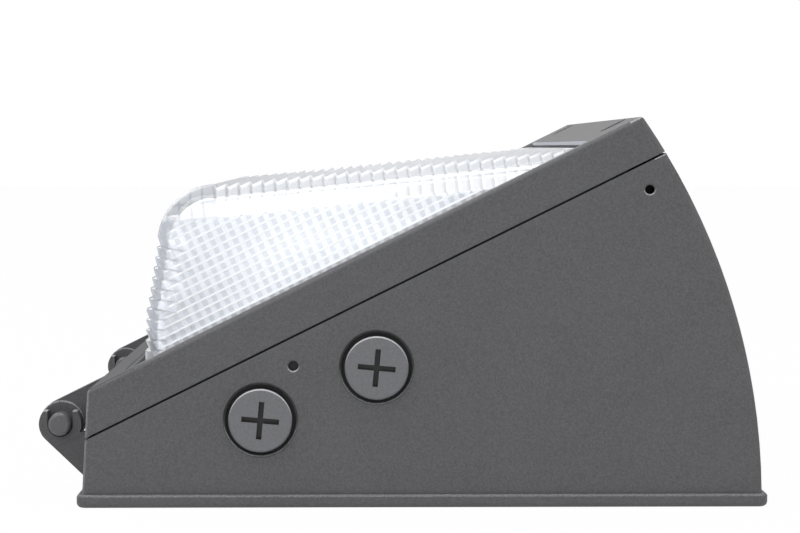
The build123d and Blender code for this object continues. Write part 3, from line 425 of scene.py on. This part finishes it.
def powder_coat(name, colour, roughness):
    """Fine textured powder coat: a speckled grain, with painted highlights on edges, rims and corners, and painted
    shade in gaps.
    """
    finish = Finish(name, Metallic=0.0)
    grain = finish.noise(scale=1800.0, roughness=0.6)
    peel = finish.noise(scale=420.0)
    mottle = finish.noise(scale=60.0, detail=3.0, roughness=0.6)
    places = CastPlaces(finish)
    # painted highlights on the edges, speckled by the grain
    painted_edge_highlight = places.painted_edge_highlights() * ((grain - 0.3) * 2.6).clamped()
    # bright: painted glints on rims, knuckles, hooks and corners, speckled by the grain
    bright = places.painted_glint_edges() * ((grain - 0.2) * 2.6).clamped()
    tone = (grain - 0.5) * 0.9 + (mottle - 0.5) * 0.16 + 0.5
    coat = finish.ramp(tone, (0.15, shade(colour, 0.6)), (0.85, shade(colour, 1.5)))
    # painted highlight: the edges are lighter where they catch the light
    coat = finish.blend(painted_edge_highlight, coat, shade(colour, 2.4))
    # painted highlight of the glass's light on the lip over its high end
    coat = finish.blend(places.painted_lip_highlight() * 0.8, coat, (0.5, 0.53, 0.58))
    # painted glints, much lighter than the coat
    coat = finish.blend(bright, coat, shade(colour, 5.0))
    # painted shade: near black in the gap under the door and in the side holes' bores
    finish.feed(Base_Color=finish.blend(places.painted_shade_gaps(), coat, (0.004, 0.004, 0.004)))
    rough = (grain - 0.5) * 0.2 + (mottle - 0.5) * 0.06 + roughness
    finish.feed(Roughness=rough - painted_edge_highlight * 0.16 + places.low_band() * 0.35)
    finish.bump(grain * 0.6 + peel * 0.4, distance=0.00006, strength=0.6)
    return finish.material


def smooth_coat(name, colour, roughness, slots_from=None):
    """A smoother coat. Given how far from the middle slots begin, it paints shade into them and a highlight on the
    plug rims' top edges.
    """
    finish = Finish(name, Metallic=0.0)
    grain = finish.noise(scale=1150.0, detail=3.0, roughness=0.65)
    coat = finish.ramp(grain, (0.25, shade(colour, 0.86)), (0.75, shade(colour, 1.16)))
    if slots_from:
        x, y, z = finish.axes()
        # painted highlight on the top edges of the plugs' rims
        painted_rim_highlight = crescents(x, z, PLUG_RIMS, rim=0.0, width=-0.0004)
        coat = finish.blend(painted_rim_highlight * 0.8, coat, (0.6, 0.6, 0.62))
        # painted shade: near black in the plug's slots, deeper than where they begin
        deep = ((slots_from - y.size()) * 1400.0).clamped()
        coat = finish.blend(deep, coat, (0.006, 0.006, 0.006))
    finish.feed(Base_Color=coat)
    finish.feed(Roughness=(grain - 0.5) * 0.16 + roughness)
    finish.bump(grain, distance=0.00004, strength=0.5)
    return finish.material


def plated_steel(name, colour, roughness):
    """Plated metal, with the faint cloudiness of its plating."""
    finish = Finish(name, Metallic=1.0)
    cloud = finish.noise(scale=900.0, detail=3.0, roughness=0.6)
    broad = finish.noise(scale=150.0)
    light = tuple(min(1.0, part) for part in shade(colour, 1.1))
    finish.feed(Base_Color=finish.ramp(broad, (0.3, shade(colour, 0.82)), (0.7, light)))
    finish.feed(Roughness=(cloud - 0.5) * 0.2 + roughness)
    finish.bump(cloud, distance=0.00002, strength=0.4)
    return finish.material


def rubber(name, colour):
    """Moulded silicone with a dusty skin."""
    finish = Finish(name, Metallic=0.0)
    dust = finish.noise(scale=700.0, detail=3.0, roughness=0.6)
    finish.feed(Base_Color=finish.ramp(dust, (0.3, shade(colour, 0.8)), (0.7, colour)))
    finish.feed(Roughness=(dust - 0.5) * 0.2 + 0.62)
    finish.bump(dust, distance=0.00003, strength=0.5)
    return finish.material


class GlassPlaces:
    """Places on the pressed glass where its painted glow, highlights and shade lie."""

    ROW_START = 0.0004       # where the first row of facets starts, under the front
    ROW_HEIGHT = 0.0052
    ROUND_INSET = 0.0004     # from the rounded edge's own start to the start of its facets
    FACET_FLAT = 0.66        # how much of a facet is flat, the rest being its soft border
    FRONT_SKIN = 0.0016      # the outermost glass of the front
    SIDE_SKIN = 0.0015       # and of the sides
    CORNER_REACH = 0.0158    # how far the plain corner comes over the front
    CORNER_INSET = 0.0008    # how far it stays from the inner faces of the sides

    def __init__(self, finish, rib_pitch, flute_pitch):
        self.x, self.y, self.z = finish.axes()
        self.across = self.y.size()
        self.rib_pitch = rib_pitch
        self.flute_pitch = flute_pitch
        self.out = along_line(self.x, self.z, OUT, SLOPE_FOOT)
        self.reach = along_line(self.x, self.z, FRONT, BOWL_CORNER)
        self.depth = 0.0 - along_line(self.x, self.z, FRONT_OUT, BOWL_CORNER)
        self.toothed = self.reach.above(TEETH_START)
        self.under = ((self.depth - GRID_DEPTH) * 1500.0).clamped()
        rounded = self.across.above(BOWL_HALF - EDGE_ROUND + self.ROUND_INSET)
        self.round_edge = rounded * (1.0 - self.under)

    def grid(self):
        """The bowl's sides under their rounded edges."""
        return ((self.across - (BOWL_HALF - self.SIDE_SKIN)) * 900.0).clamped() * self.under

    def cells(self):
        """Painted highlight lines on the side ribs, and softer painted bands of light on the flutes between them,
        brighter further out from the door's face.
        """
        flutes = along_line(self.x, self.z, FLUTE_ALONG, SLOPE_FOOT + ALONG * FLUTE_FOOT)
        lines = (self.out - RIB_FOOT).wrapped(self.rib_pitch).below(self.rib_pitch * 0.25)
        bands = ((flutes * (2 * pi / self.flute_pitch)).sine() * 1.4 + 0.5).clamped()
        return lines + (1.0 - lines) * (bands * 0.5 + self.out * 2.6)

    def facets(self):
        """The flats of the saw teeth's side facets, in rows round the edge."""
        along_row = (self.reach - TEETH_START) / TOOTH_PITCH
        down_rows = (self.depth - self.ROW_START) / self.ROW_HEIGHT
        return self._flat(along_row) * self._flat(down_rows)

    def _flat(self, count):
        from_middle = (count.wrapped(1.0) - 0.5).size() * 2.0
        return 1.0 - (from_middle - self.FACET_FLAT).clamped() * 2.4

    def edge(self):
        """The rounded edges, with less painted glow where they have no teeth."""
        return self.round_edge * (self.toothed * 0.35 + 0.5)

    def second_row(self):
        """The rounded edges' facets from the second row down."""
        return self.round_edge * self.depth.above(self.ROW_START + self.ROW_HEIGHT) * self.toothed

    def front(self):
        """The front's skin between its rounded edges."""
        inner = self.across.below(BOWL_HALF - EDGE_ROUND)
        return self.depth.below(self.FRONT_SKIN) * inner * self.toothed

    def corner(self):
        """The plain round between the front and the low wall, and that wall."""
        inner = self.across.below(BOWL_HALF - GLASS - self.CORNER_INSET)
        return self.reach.below(self.CORNER_REACH) * inner


def pressed_glass(name, tint, rib_pitch, flute_pitch):
    """Pressed prismatic glass with a painted glow: painted highlights along its ribs, its flutes and its edges'
    facets, and painted shade where it is clear.
    """
    # the glass is given a painted glow of its own through its emission
    finish = Finish(name, Metallic=0.0, IOR=1.5, Transmission_Weight=0.84, Emission_Strength=0.31)
    places = GlassPlaces(finish, rib_pitch, flute_pitch)
    wave = finish.noise(scale=70.0)
    grid = places.grid()
    facets = places.facets()
    front = places.front()
    # glow: where the glass's painted glow and painted highlights lie, on the side ribs and flutes and the edges'
    # facets
    glow = grid * places.cells() + places.edge() * facets
    # clear: the front's skin and the plain corner, where painted shade lies
    clear = (front + places.corner()).clamped()
    # painted highlight: the base colour is paler where the glass glows
    pale = finish.blend(glow, tint, (0.985, 0.99, 1.0))
    # painted shade: the clear parts are painted darker and bluer
    finish.feed(Base_Color=finish.blend(clear, pale, (0.76, 0.8, 0.865)))
    # the painted glow's colour: a dim tint over all the glass, white where it glows, brighter than white on the
    # edges' lower facets
    painted_glow_colour = finish.blend(glow, shade(tint, 0.2), (1.0, 1.0, 1.0))
    painted_glow_colour = finish.blend(places.second_row() * facets, painted_glow_colour, (1.15, 1.17, 1.2))
    # painted shade: the clear parts glow least
    finish.feed(Emission_Color=finish.blend(clear, painted_glow_colour, shade(tint, 0.07)))
    finish.feed(Roughness=wave * 0.06 + grid * 0.2 + front * 0.2 + 0.02)
    finish.bump(wave, distance=0.0003, strength=0.15)
    return finish.material


def enamel(name, colour):
    """Baked enamel on folded sheet."""
    finish = Finish(name, Metallic=0.0, Coat_Roughness=0.1)
    peel = finish.noise(scale=260.0)
    mottle = finish.noise(scale=25.0)
    finish.feed(Base_Color=finish.ramp(mottle, (0.3, shade(colour, 0.93)), (0.7, colour)))
    finish.feed(Roughness=(peel - 0.5) * 0.1 + 0.28)
    finish.bump(peel, distance=0.00005, strength=0.12)
    return finish.material


def moulded(name, colour, roughness=0.4):
    """Moulded or extruded plastic."""
    finish = Finish(name, Metallic=0.0)
    skin = finish.noise(scale=900.0)
    broad = finish.noise(scale=75.0)
    finish.feed(Base_Color=finish.ramp(broad, (0.3, shade(colour, 0.86)), (0.7, colour)))
    finish.feed(Roughness=(skin - 0.5) * 0.14 + roughness)
    finish.bump(skin, distance=0.00002, strength=0.4)
    return finish.material


def galvanised(name):
    """Galvanised sheet, with its large spangle."""
    finish = Finish(name, Metallic=1.0)
    tone = finish.cell_tones(scale=260.0)
    finish.feed(Base_Color=finish.ramp(tone, (0.1, (0.5, 0.51, 0.52)), (0.9, (0.68, 0.69, 0.7))))
    finish.feed(Roughness=tone * 0.16 + 0.3)
    finish.bump(tone, distance=0.00002, strength=0.3)
    return finish.material


def led_package(name):
    """An LED's package and its yellow phosphor dome."""
    finish = Finish(name, Metallic=0.0)
    grain = finish.noise(scale=2500.0)
    finish.feed(Base_Color=finish.ramp(grain, (0.2, (0.84, 0.72, 0.22)), (0.8, (0.92, 0.82, 0.34))))
    finish.feed(Roughness=grain * 0.1 + 0.2)
    return finish.material


def circuit_mask(name, colour, trace):
    """A circuit board's solder mask over its copper traces."""
    finish = Finish(name, Metallic=0.0)
    y = finish.axes()[1]
    lanes = finish.noise(scale=90.0, detail=1.0)
    track = ((y * 900.0 + lanes * 9.0).sine() * 0.5 + 0.5).above(0.72)
    finish.feed(Base_Color=finish.blend(track, colour, trace))
    finish.feed(Roughness=finish.noise(scale=600.0) * 0.1 + 0.3)
    finish.bump(track, distance=0.00004, strength=0.5)
    return finish.material


def give(material, *nodes):
    """Puts one material on whole CAD nodes."""
    for name in nodes:
        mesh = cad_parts[name].data
        mesh.materials.clear()
        mesh.materials.append(material)


# ---- Mesh making ----


def alone(*objects):
    """Makes these the only selected objects, and the first of them the active one."""
    bpy.ops.object.select_all(action="DESELECT")
    for obj in objects:
        obj.select_set(True)
    bpy.context.view_layer.objects.active = objects[0]


class Editing:
    """Edit mode on one object, with nothing selected to begin with."""

    def __init__(self, obj):
        self.obj = obj

    def __enter__(self):
        alone(self.obj)
        bpy.ops.object.mode_set(mode="EDIT")
        bpy.ops.mesh.select_all(action="DESELECT")
        return self

    def __exit__(self, *error):
        bpy.ops.object.mode_set(mode="OBJECT")

    def pick(self, test, kind="verts"):
        """Selects the points or faces that pass a test, and nothing else."""
        shape = bmesh.from_edit_mesh(self.obj.data)
        bpy.ops.mesh.select_mode(type={"verts": "VERT", "faces": "FACE"}[kind])
        for item in getattr(shape, kind):
            item.select_set(bool(test(item)))
        shape.select_flush_mode()
        bmesh.update_edit_mesh(self.obj.data)


def apply_modifier(obj, kind, **settings):
    alone(obj)
    modifier = obj.modifiers.new(kind.lower(), kind)
    for setting, value in settings.items():
        setattr(modifier, setting, value)
    bpy.ops.object.modifier_apply(modifier=modifier.name)


def put(obj, start, right, up):
    """Lays an object made flat at the origin along two directions of the part, from a point of it."""
    across = right.cross(up)
    place = Matrix((right, up, across)).transposed().to_4x4()
    place.translation = start
    obj.matrix_world = place
    alone(obj)
    bpy.ops.object.transform_apply(location=True, rotation=True, scale=True)


def carve(obj, cutter):
    """Takes one shape away from another, and deletes it."""
    apply_modifier(obj, "BOOLEAN", operation="DIFFERENCE", solver="EXACT", object=cutter)
    with Editing(obj):
        bpy.ops.mesh.select_all(action="SELECT")
        bpy.ops.mesh.remove_doubles(threshold=SPLINTER)
        bpy.ops.mesh.dissolve_degenerate(threshold=SPLINTER)
    alone(cutter)
    bpy.ops.object.delete()


def carve_both_sides(obj, cutter):
    """Takes a shape, and its mirror image across the part's middle, away from another."""
    alone(cutter)
    bpy.ops.object.duplicate()
    twin = bpy.context.object
    twin.scale = (1.0, -1.0, 1.0)
    bpy.ops.object.transform_apply(scale=True)
    close_up(twin)
    carve(obj, cutter)
    carve(obj, twin)


def saw_strip(name, pitch, count, rise, steep, tip_drop=0.00005):
    """A flat strip from the origin along X, with saw teeth below whose long faces rise by an angle."""
    tip_along = pitch * tan(rise) / (tan(steep) + tan(rise))
    tip_depth = tip_along * tan(steep) + tip_drop
    bpy.ops.object.select_all(action="DESELECT")
    bpy.ops.mesh.primitive_grid_add(x_subdivisions=2, y_subdivisions=1, size=pitch)
    strip = bpy.context.object
    strip.name = name
    with Editing(strip) as edit:
        edit.pick(lambda vert: vert.co.y > 0)
        bpy.ops.transform.translate(value=(0.0, COMB_HEIGHT - pitch / 2, 0.0))
        edit.pick(lambda vert: vert.co.y < 0)
        bpy.ops.transform.translate(value=(0.0, pitch / 2 - tip_drop, 0.0))
        edit.pick(lambda vert: vert.co.y < 0 and abs(vert.co.x) < pitch / 4)
        bpy.ops.transform.translate(value=(tip_along - pitch / 2, tip_drop - tip_depth, 0.0))
        bpy.ops.mesh.select_all(action="SELECT")
        bpy.ops.transform.translate(value=(pitch / 2, 0.0, 0.0))
    apply_modifier(
        strip,
        "ARRAY",
        count=count,
        use_relative_offset=False,
        use_constant_offset=True,
        constant_offset_displace=(pitch, 0.0, 0.0),
        use_merge_vertices=True,
        merge_threshold=TOUCHING,
    )
    return strip


def sweep(obj, run, start=0.0):
    """Extrudes a flat shape at the origin along Z, from a start on that line."""
    with Editing(obj):
        bpy.ops.mesh.select_all(action="SELECT")
        bpy.ops.transform.translate(value=(0.0, 0.0, start))
        bpy.ops.mesh.extrude_region_move(TRANSFORM_OT_translate={"value": (0.0, 0.0, run)})


def turn_round_the_edge(comb, end, sense, reach):
    """Sweeps one end of a comb a quarter turn round the edge's axis, and on a little down the side."""
    with Editing(comb) as edit:
        edit.pick(lambda face: all(abs(vert.co.z - end) < TOUCHING for vert in face.verts), "faces")
        bpy.ops.mesh.spin(
            steps=10,
            angle=sense * radians(90.0),
            center=(0.0, -EDGE_ROUND, end),
            axis=(1.0, 0.0, 0.0),
        )
        if reach:
            bpy.ops.mesh.extrude_region_move(TRANSFORM_OT_translate={"value": (0.0, -reach, 0.0)})


def trim_under_front(comb, depth):
    """Cuts off what stands nearer to the bowl's front than a depth."""
    with Editing(comb):
        bpy.ops.mesh.select_all(action="SELECT")
        bpy.ops.mesh.bisect(
            plane_co=BOWL_CORNER - FRONT_OUT * depth,
            plane_no=FRONT_OUT,
            use_fill=True,
            clear_outer=True,
        )


def close_up(obj):
    """Merges a shape's doubled points and turns its faces outwards."""
    with Editing(obj):
        bpy.ops.mesh.select_all(action="SELECT")
        bpy.ops.mesh.remove_doubles(threshold=DOUBLED)
        bpy.ops.mesh.normals_make_consistent(inside=False)


def solid_copy(name, node):
    """A copy of a CAD node as one closed mesh, with its loose triangles merged."""
    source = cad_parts[node]
    copy = bpy.data.objects.new(name, source.data.copy())
    bpy.context.scene.collection.objects.link(copy)
    with Editing(copy):
        bpy.ops.mesh.select_all(action="SELECT")
        bpy.ops.mesh.customdata_custom_splitnormals_clear()
        bpy.ops.mesh.remove_doubles(threshold=DOUBLED)
    return copy


# ---- Settings ----


class CastingSettings(bpy.types.PropertyGroup):
    coat: FloatVectorProperty(
        name="Coat colour",
        description="Colour of the textured powder coat on the housing and the door frame",
        subtype="COLOR",
        size=3,
        min=0.0,
        max=1.0,
        default=(0.0865, 0.0865, 0.0905),
    )
    plug_coat: FloatVectorProperty(
        name="Plug colour",
        description="Colour of the smoother coat on the conduit plugs",
        subtype="COLOR",
        size=3,
        min=0.0,
        max=1.0,
        default=(0.15, 0.152, 0.163),
    )
    roughness: FloatProperty(
        name="Coat roughness",
        description="How matt the powder coat is",
        min=0.0,
        max=1.0,
        default=0.56,
    )


class GlassSettings(bpy.types.PropertyGroup):
    side_pitch: FloatProperty(
        name="Side rib pitch",
        description="Distance from one fine rib on the bowl's sides to the next",
        subtype="DISTANCE",
        unit="LENGTH",
        default=0.00267,
    )
    flute_pitch: FloatProperty(
        name="Flute pitch",
        description="Distance from one upright flute inside the bowl's sides to the next",
        subtype="DISTANCE",
        unit="LENGTH",
        default=0.00342,
    )
    tint: FloatVectorProperty(
        name="Glass tint",
        description="Colour of the glass between the ribs of its sides",
        subtype="COLOR",
        size=3,
        min=0.0,
        max=1.0,
        default=(0.85, 0.87, 0.91),
    )


class StageSettings(bpy.types.PropertyGroup):
    floor_size: FloatProperty(
        name="Floor size",
        description="Width of the pale floor that the light lies on",
        subtype="DISTANCE",
        unit="LENGTH",
        default=12.0,
    )
    key_power: FloatProperty(
        name="Key lamp",
        description="Power of the large lamp over the light",
        subtype="POWER",
        unit="POWER",
        default=12.0,
    )


# ---- Operators ----


class WALLLIGHT_OT_casting(bpy.types.Operator):
    """Gives the housing, the door frame and the plugs their coats, and the seals their rubber"""

    bl_idname = "walllight.casting"
    bl_label = "Finish the Casting"

    def execute(self, context):
        settings = context.scene.wall_light_casting
        coat = powder_coat("textured_coat", tuple(settings.coat), settings.roughness)
        give(coat, "housing", "door_frame")
        plug = smooth_coat(
            "plug_coat",
            tuple(settings.plug_coat),
            settings.roughness - 0.16,
            slots_from=PLUG_FACE - SIDE_PAINT,
        )
        give(plug, "conduit_plugs")
        give(rubber("seal_rubber", (0.02, 0.02, 0.021)), "plug_seals")
        give(rubber("gasket_silicone", (0.05, 0.05, 0.05)), "door_gasket", "lens_gasket", "tray_grommet")
        return {"FINISHED"}


class WALLLIGHT_OT_fasteners(bpy.types.Operator):
    """Finishes the hinge pins, the screws, their rings and the retainer strip"""

    bl_idname = "walllight.fasteners"
    bl_label = "Finish the Fasteners"

    def execute(self, context):
        zinc = plated_steel("zinc_plate", (0.62, 0.62, 0.63), 0.34)
        give(
            zinc,
            "door_screw_near",
            "door_screw_far",
            "strip_screws",
            "lens_strip",
            "tray_screws",
            "board_screws",
            "driver_screws",
        )
        give(plated_steel("spring_steel", (0.3, 0.3, 0.31), 0.3), "screw_ring_near", "screw_ring_far")
        give(smooth_coat("pin_coat", (0.12, 0.12, 0.126), 0.36), "hinge_pins")
        return {"FINISHED"}


class WALLLIGHT_OT_refractor(bpy.types.Operator):
    """Presses the teeth, the ribs and the flutes into the glass refractor, and finishes it"""

    bl_idname = "walllight.refractor"
    bl_label = "Finish the Refractor"

    def execute(self, context):
        settings = context.scene.wall_light_glass
        pitches = settings.side_pitch, settings.flute_pitch
        bowl = solid_copy("glass_bowl", "glass_lens")
        self.tooth_the_edges(bowl)
        self.tooth_the_foot(bowl)
        self.rib_the_sides(bowl, settings.side_pitch)
        self.flute_the_sides(bowl, settings.flute_pitch)
        alone(bowl)
        bpy.ops.object.shade_smooth_by_angle(angle=radians(25.0))
        bowl.data.materials.clear()
        bowl.data.materials.append(pressed_glass("pressed_glass", tuple(settings.tint), *pitches))
        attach(bowl, "door")
        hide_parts("glass_lens")
        return {"FINISHED"}

    def tooth_the_edges(self, bowl):
        """Carries the saw teeth of the front and of the low wall round the bowl's side edges."""
        edge_axis = NEAR * (BOWL_HALF - EDGE_ROUND)
        front_start = BOWL_CORNER + FRONT * TEETH_START
        wall_start = WALL_NECK + WALL * WALL_TEETH_START
        for start, right, up, pitch, count, rise in (
            (front_start, FRONT, FRONT_OUT, TOOTH_PITCH, FRONT_TEETH, SLOPE - FRONT_TILT),
            (wall_start, WALL, WALL_OUT, WALL_PITCH, WALL_TEETH, WALL_RISE),
        ):
            comb = saw_strip("edge_comb", pitch, count, rise, STEEP)
            sweep(comb, COMB_REACH, start=-COMB_REACH)
            turn_round_the_edge(comb, 0.0, -1.0, COMB_REACH)
            close_up(comb)
            put(comb, start + edge_axis - up * COMB_SINK, right, up)
            carve_both_sides(bowl, comb)

    def tooth_the_foot(self, bowl):
        """Cuts the upright foot of the low wall into teeth, from one side of the bowl to the other."""
        width = 2 * (BOWL_HALF - EDGE_ROUND)
        comb = saw_strip("foot_comb", WALL_PITCH, FOOT_TEETH, WALL_RISE, STEEP)
        sweep(comb, width, start=-width)
        turn_round_the_edge(comb, 0.0, -1.0, 0.0)
        turn_round_the_edge(comb, -width, 1.0, 0.0)
        close_up(comb)
        start = WALL_NECK - UPRIGHT * FOOT_DROP + NEAR * (BOWL_HALF - EDGE_ROUND)
        put(comb, start, UPRIGHT, DOWN_THE_WALL)
        carve(bowl, comb)

    def rib_the_sides(self, bowl, pitch):
        """Cuts fine ribs along the slope into the bowl's sides, up to just under its rounded edge."""
        comb = saw_strip("side_comb", pitch, round(RIBS_SPAN / pitch), RIB_RISE, RIB_STEEP)
        sweep(comb, RIBS_LENGTH)
        close_up(comb)
        put(comb, SLOPE_FOOT + OUT * RIB_FOOT + ALONG * RIBS_START + NEAR * BOWL_HALF, OUT, NEAR)
        trim_under_front(comb, GRID_DEPTH)
        carve_both_sides(bowl, comb)

    def flute_the_sides(self, bowl, pitch):
        """Cuts upright flutes into the inner faces of the bowl's sides."""
        comb = saw_strip("flute_comb", pitch, round(FLUTES_SPAN / pitch), FLUTE_RISE, FLUTE_RISE)
        sweep(comb, FLUTES_LENGTH)
        close_up(comb)
        put(comb, SLOPE_FOOT + ALONG * FLUTE_FOOT + NEAR * (BOWL_HALF - GLASS), FLUTE_ALONG, FAR)
        trim_under_front(comb, GRID_DEPTH - FLUTES_OVER)
        carve_both_sides(bowl, comb)


class WALLLIGHT_OT_lamp(bpy.types.Operator):
    """Finishes the gear tray, the LED board and what is on it"""

    bl_idname = "walllight.lamp"
    bl_label = "Finish the Lamp"

    def execute(self, context):
        give(enamel("tray_enamel", (0.82, 0.82, 0.81)), "gear_tray")
        give(circuit_mask("board_mask", (0.76, 0.78, 0.75), (0.66, 0.69, 0.65)), "led_board")
        give(led_package("led_phosphor"), "leds")
        give(moulded("block_plastic", (0.8, 0.8, 0.77)), "board_connector")
        return {"FINISHED"}


class WALLLIGHT_OT_driver(bpy.types.Operator):
    """Finishes the driver's case, lid, circuit board and components"""

    bl_idname = "walllight.driver"
    bl_label = "Finish the Driver"

    def execute(self, context):
        give(galvanised("galvanised_sheet"), "driver_case", "driver_lid")
        give(circuit_mask("green_mask", (0.02, 0.16, 0.05), (0.05, 0.28, 0.1)), "driver_circuit")
        give(moulded("component_plastic", (0.05, 0.05, 0.055)), "driver_components")
        return {"FINISHED"}


class WALLLIGHT_OT_wiring(bpy.types.Operator):
    """Finishes the wires, their connectors and the earth parts"""

    bl_idname = "walllight.wiring"
    bl_label = "Finish the Wiring"

    def execute(self, context):
        for name, colour, nodes in (
            ("black_insulation", (0.02, 0.02, 0.02), ("supply_lead_black", "led_lead_black")),
            ("white_insulation", (0.8, 0.8, 0.79), ("supply_lead_white",)),
            ("green_insulation", (0.03, 0.25, 0.07), ("earth_lead",)),
            ("red_insulation", (0.5, 0.02, 0.02), ("led_lead_red",)),
            ("cap_plastic", (0.72, 0.26, 0.03), ("wire_connectors",)),
        ):
            give(moulded(name, colour, roughness=0.35), *nodes)
        give(plated_steel("tinned_copper", (0.7, 0.66, 0.6), 0.3), "earth_terminal")
        give(enamel("green_screw", (0.03, 0.3, 0.09)), "earth_screw")
        return {"FINISHED"}


class WALLLIGHT_OT_stage(bpy.types.Operator):
    """Adds the pale floor, the soft studio lamps and the camera"""

    bl_idname = "walllight.stage"
    bl_label = "Set the Stage"

    def execute(self, context):
        scene = context.scene
        settings = scene.wall_light_stage
        self.floor(settings.floor_size)
        scene.world = self.soft_world()
        for name, place, size, power in (
            ("key_lamp", (-0.9, -1.2, 1.4), 1.2, settings.key_power),
            ("fill_lamp", (1.4, -0.9, 0.9), 1.2, settings.key_power * 0.4),
            ("rim_lamp", (-0.9, 1.3, 1.2), 1.2, settings.key_power * 0.5),
            ("top_lamp", (0.0, -0.25, 1.5), 0.5, settings.key_power * 0.5),
        ):
            self.area_lamp(name, Vector(place), size, power)
        self.camera(scene)
        scene.view_settings.view_transform = "Standard"
        return {"FINISHED"}

    def floor(self, size):
        """The pale floor that the light lies on, a little under its back."""
        bpy.ops.object.select_all(action="DESELECT")
        bpy.ops.mesh.primitive_plane_add(size=size, location=(0.0, 0.0, -FLOOR_DROP))
        floor = bpy.context.object
        floor.name = "floor"
        bpy.ops.object.transform_apply(location=True, rotation=True, scale=True)
        floor.data.materials.append(self.pale_floor())

    def pale_floor(self):
        """White to the camera and to glass, and a plain pale grey to the lamps."""
        finish = Finish("pale_floor", Roughness=0.9)
        speck = finish.noise(scale=40.0)
        finish.feed(Base_Color=finish.ramp(speck, (0.3, (0.86, 0.86, 0.86)), (0.7, (0.88, 0.88, 0.88))))
        glow = finish.add("ShaderNodeEmission", Color=WHITE, Strength=1.0).out()
        finish.show(finish.add("ShaderNodeMixShader", {}, finish.seen() * 0.975, finish.surface, glow).out())
        return finish.material

    def soft_world(self):
        """White where it is seen, and dimmer as a light from all round."""
        world = bpy.data.worlds.new("studio")
        world.use_nodes = True
        sky = Network(world.node_tree, "ShaderNodeOutputWorld")
        dim = sky.add("ShaderNodeBackground", Color=WHITE, Strength=0.45).out()
        white = sky.add("ShaderNodeBackground", Color=WHITE, Strength=1.0).out()
        sky.show(sky.add("ShaderNodeMixShader", {}, sky.seen(), dim, white).out())
        return world

    def area_lamp(self, name, place, size, power):
        """A square lamp that shines on the middle of the light."""
        bpy.ops.object.light_add(type="AREA", location=place)
        lamp = bpy.context.object
        lamp.name = name
        lamp.data.size = size
        lamp.data.energy = power
        aim = LAMPS_AIM - place
        lamp.rotation_euler = aim.to_track_quat("-Z", "Y").to_euler()

    def camera(self, scene):
        """Looks at the light's near side, almost level and a little from above."""
        bpy.ops.object.camera_add(location=(-0.01636, -0.89522, 0.1130))
        camera = bpy.context.object
        camera.name = "camera"
        pitch, roll, heading = radians(90.0 - 2.8283), radians(0.025), radians(-0.7049)
        camera.rotation_euler = (pitch, roll, heading)
        camera.data.lens = 109.17
        camera.data.sensor_width = 36.0
        camera.data.clip_start = 0.05
        scene.camera = camera


class WALLLIGHT_PT_panel(bpy.types.Panel):
    """Lists the steps that dress the light"""

    bl_label = "Wall Pack Light"
    bl_idname = "WALLLIGHT_PT_panel"
    bl_space_type = "VIEW_3D"
    bl_region_type = "UI"
    bl_category = "Wall Light"

    def draw(self, context):
        layout = self.layout
        scene = context.scene
        for group, names in (
            (scene.wall_light_casting, ("coat", "plug_coat", "roughness")),
            (scene.wall_light_glass, ("side_pitch", "flute_pitch", "tint")),
            (scene.wall_light_stage, ("floor_size", "key_power")),
        ):
            for name in names:
                layout.prop(group, name)
        for step in STEPS:
            layout.operator(step.bl_idname)


SETTINGS = {
    "wall_light_casting": CastingSettings,
    "wall_light_glass": GlassSettings,
    "wall_light_stage": StageSettings,
}
STEPS = (
    WALLLIGHT_OT_casting,
    WALLLIGHT_OT_fasteners,
    WALLLIGHT_OT_refractor,
    WALLLIGHT_OT_lamp,
    WALLLIGHT_OT_driver,
    WALLLIGHT_OT_wiring,
    WALLLIGHT_OT_stage,
)


def register():
    for name, group in SETTINGS.items():
        bpy.utils.register_class(group)
        setattr(bpy.types.Scene, name, PointerProperty(type=group))
    for step in STEPS:
        bpy.utils.register_class(step)
    bpy.utils.register_class(WALLLIGHT_PT_panel)


def unregister():
    bpy.utils.unregister_class(WALLLIGHT_PT_panel)
    for step in reversed(STEPS):
        bpy.utils.unregister_class(step)
    for name, group in SETTINGS.items():
        delattr(bpy.types.Scene, name)
        bpy.utils.unregister_class(group)


def main():
    register()
    for step in STEPS:
        family, action = step.bl_idname.split(".")
        getattr(getattr(bpy.ops, family), action)()


if __name__ == "__main__":
    main()
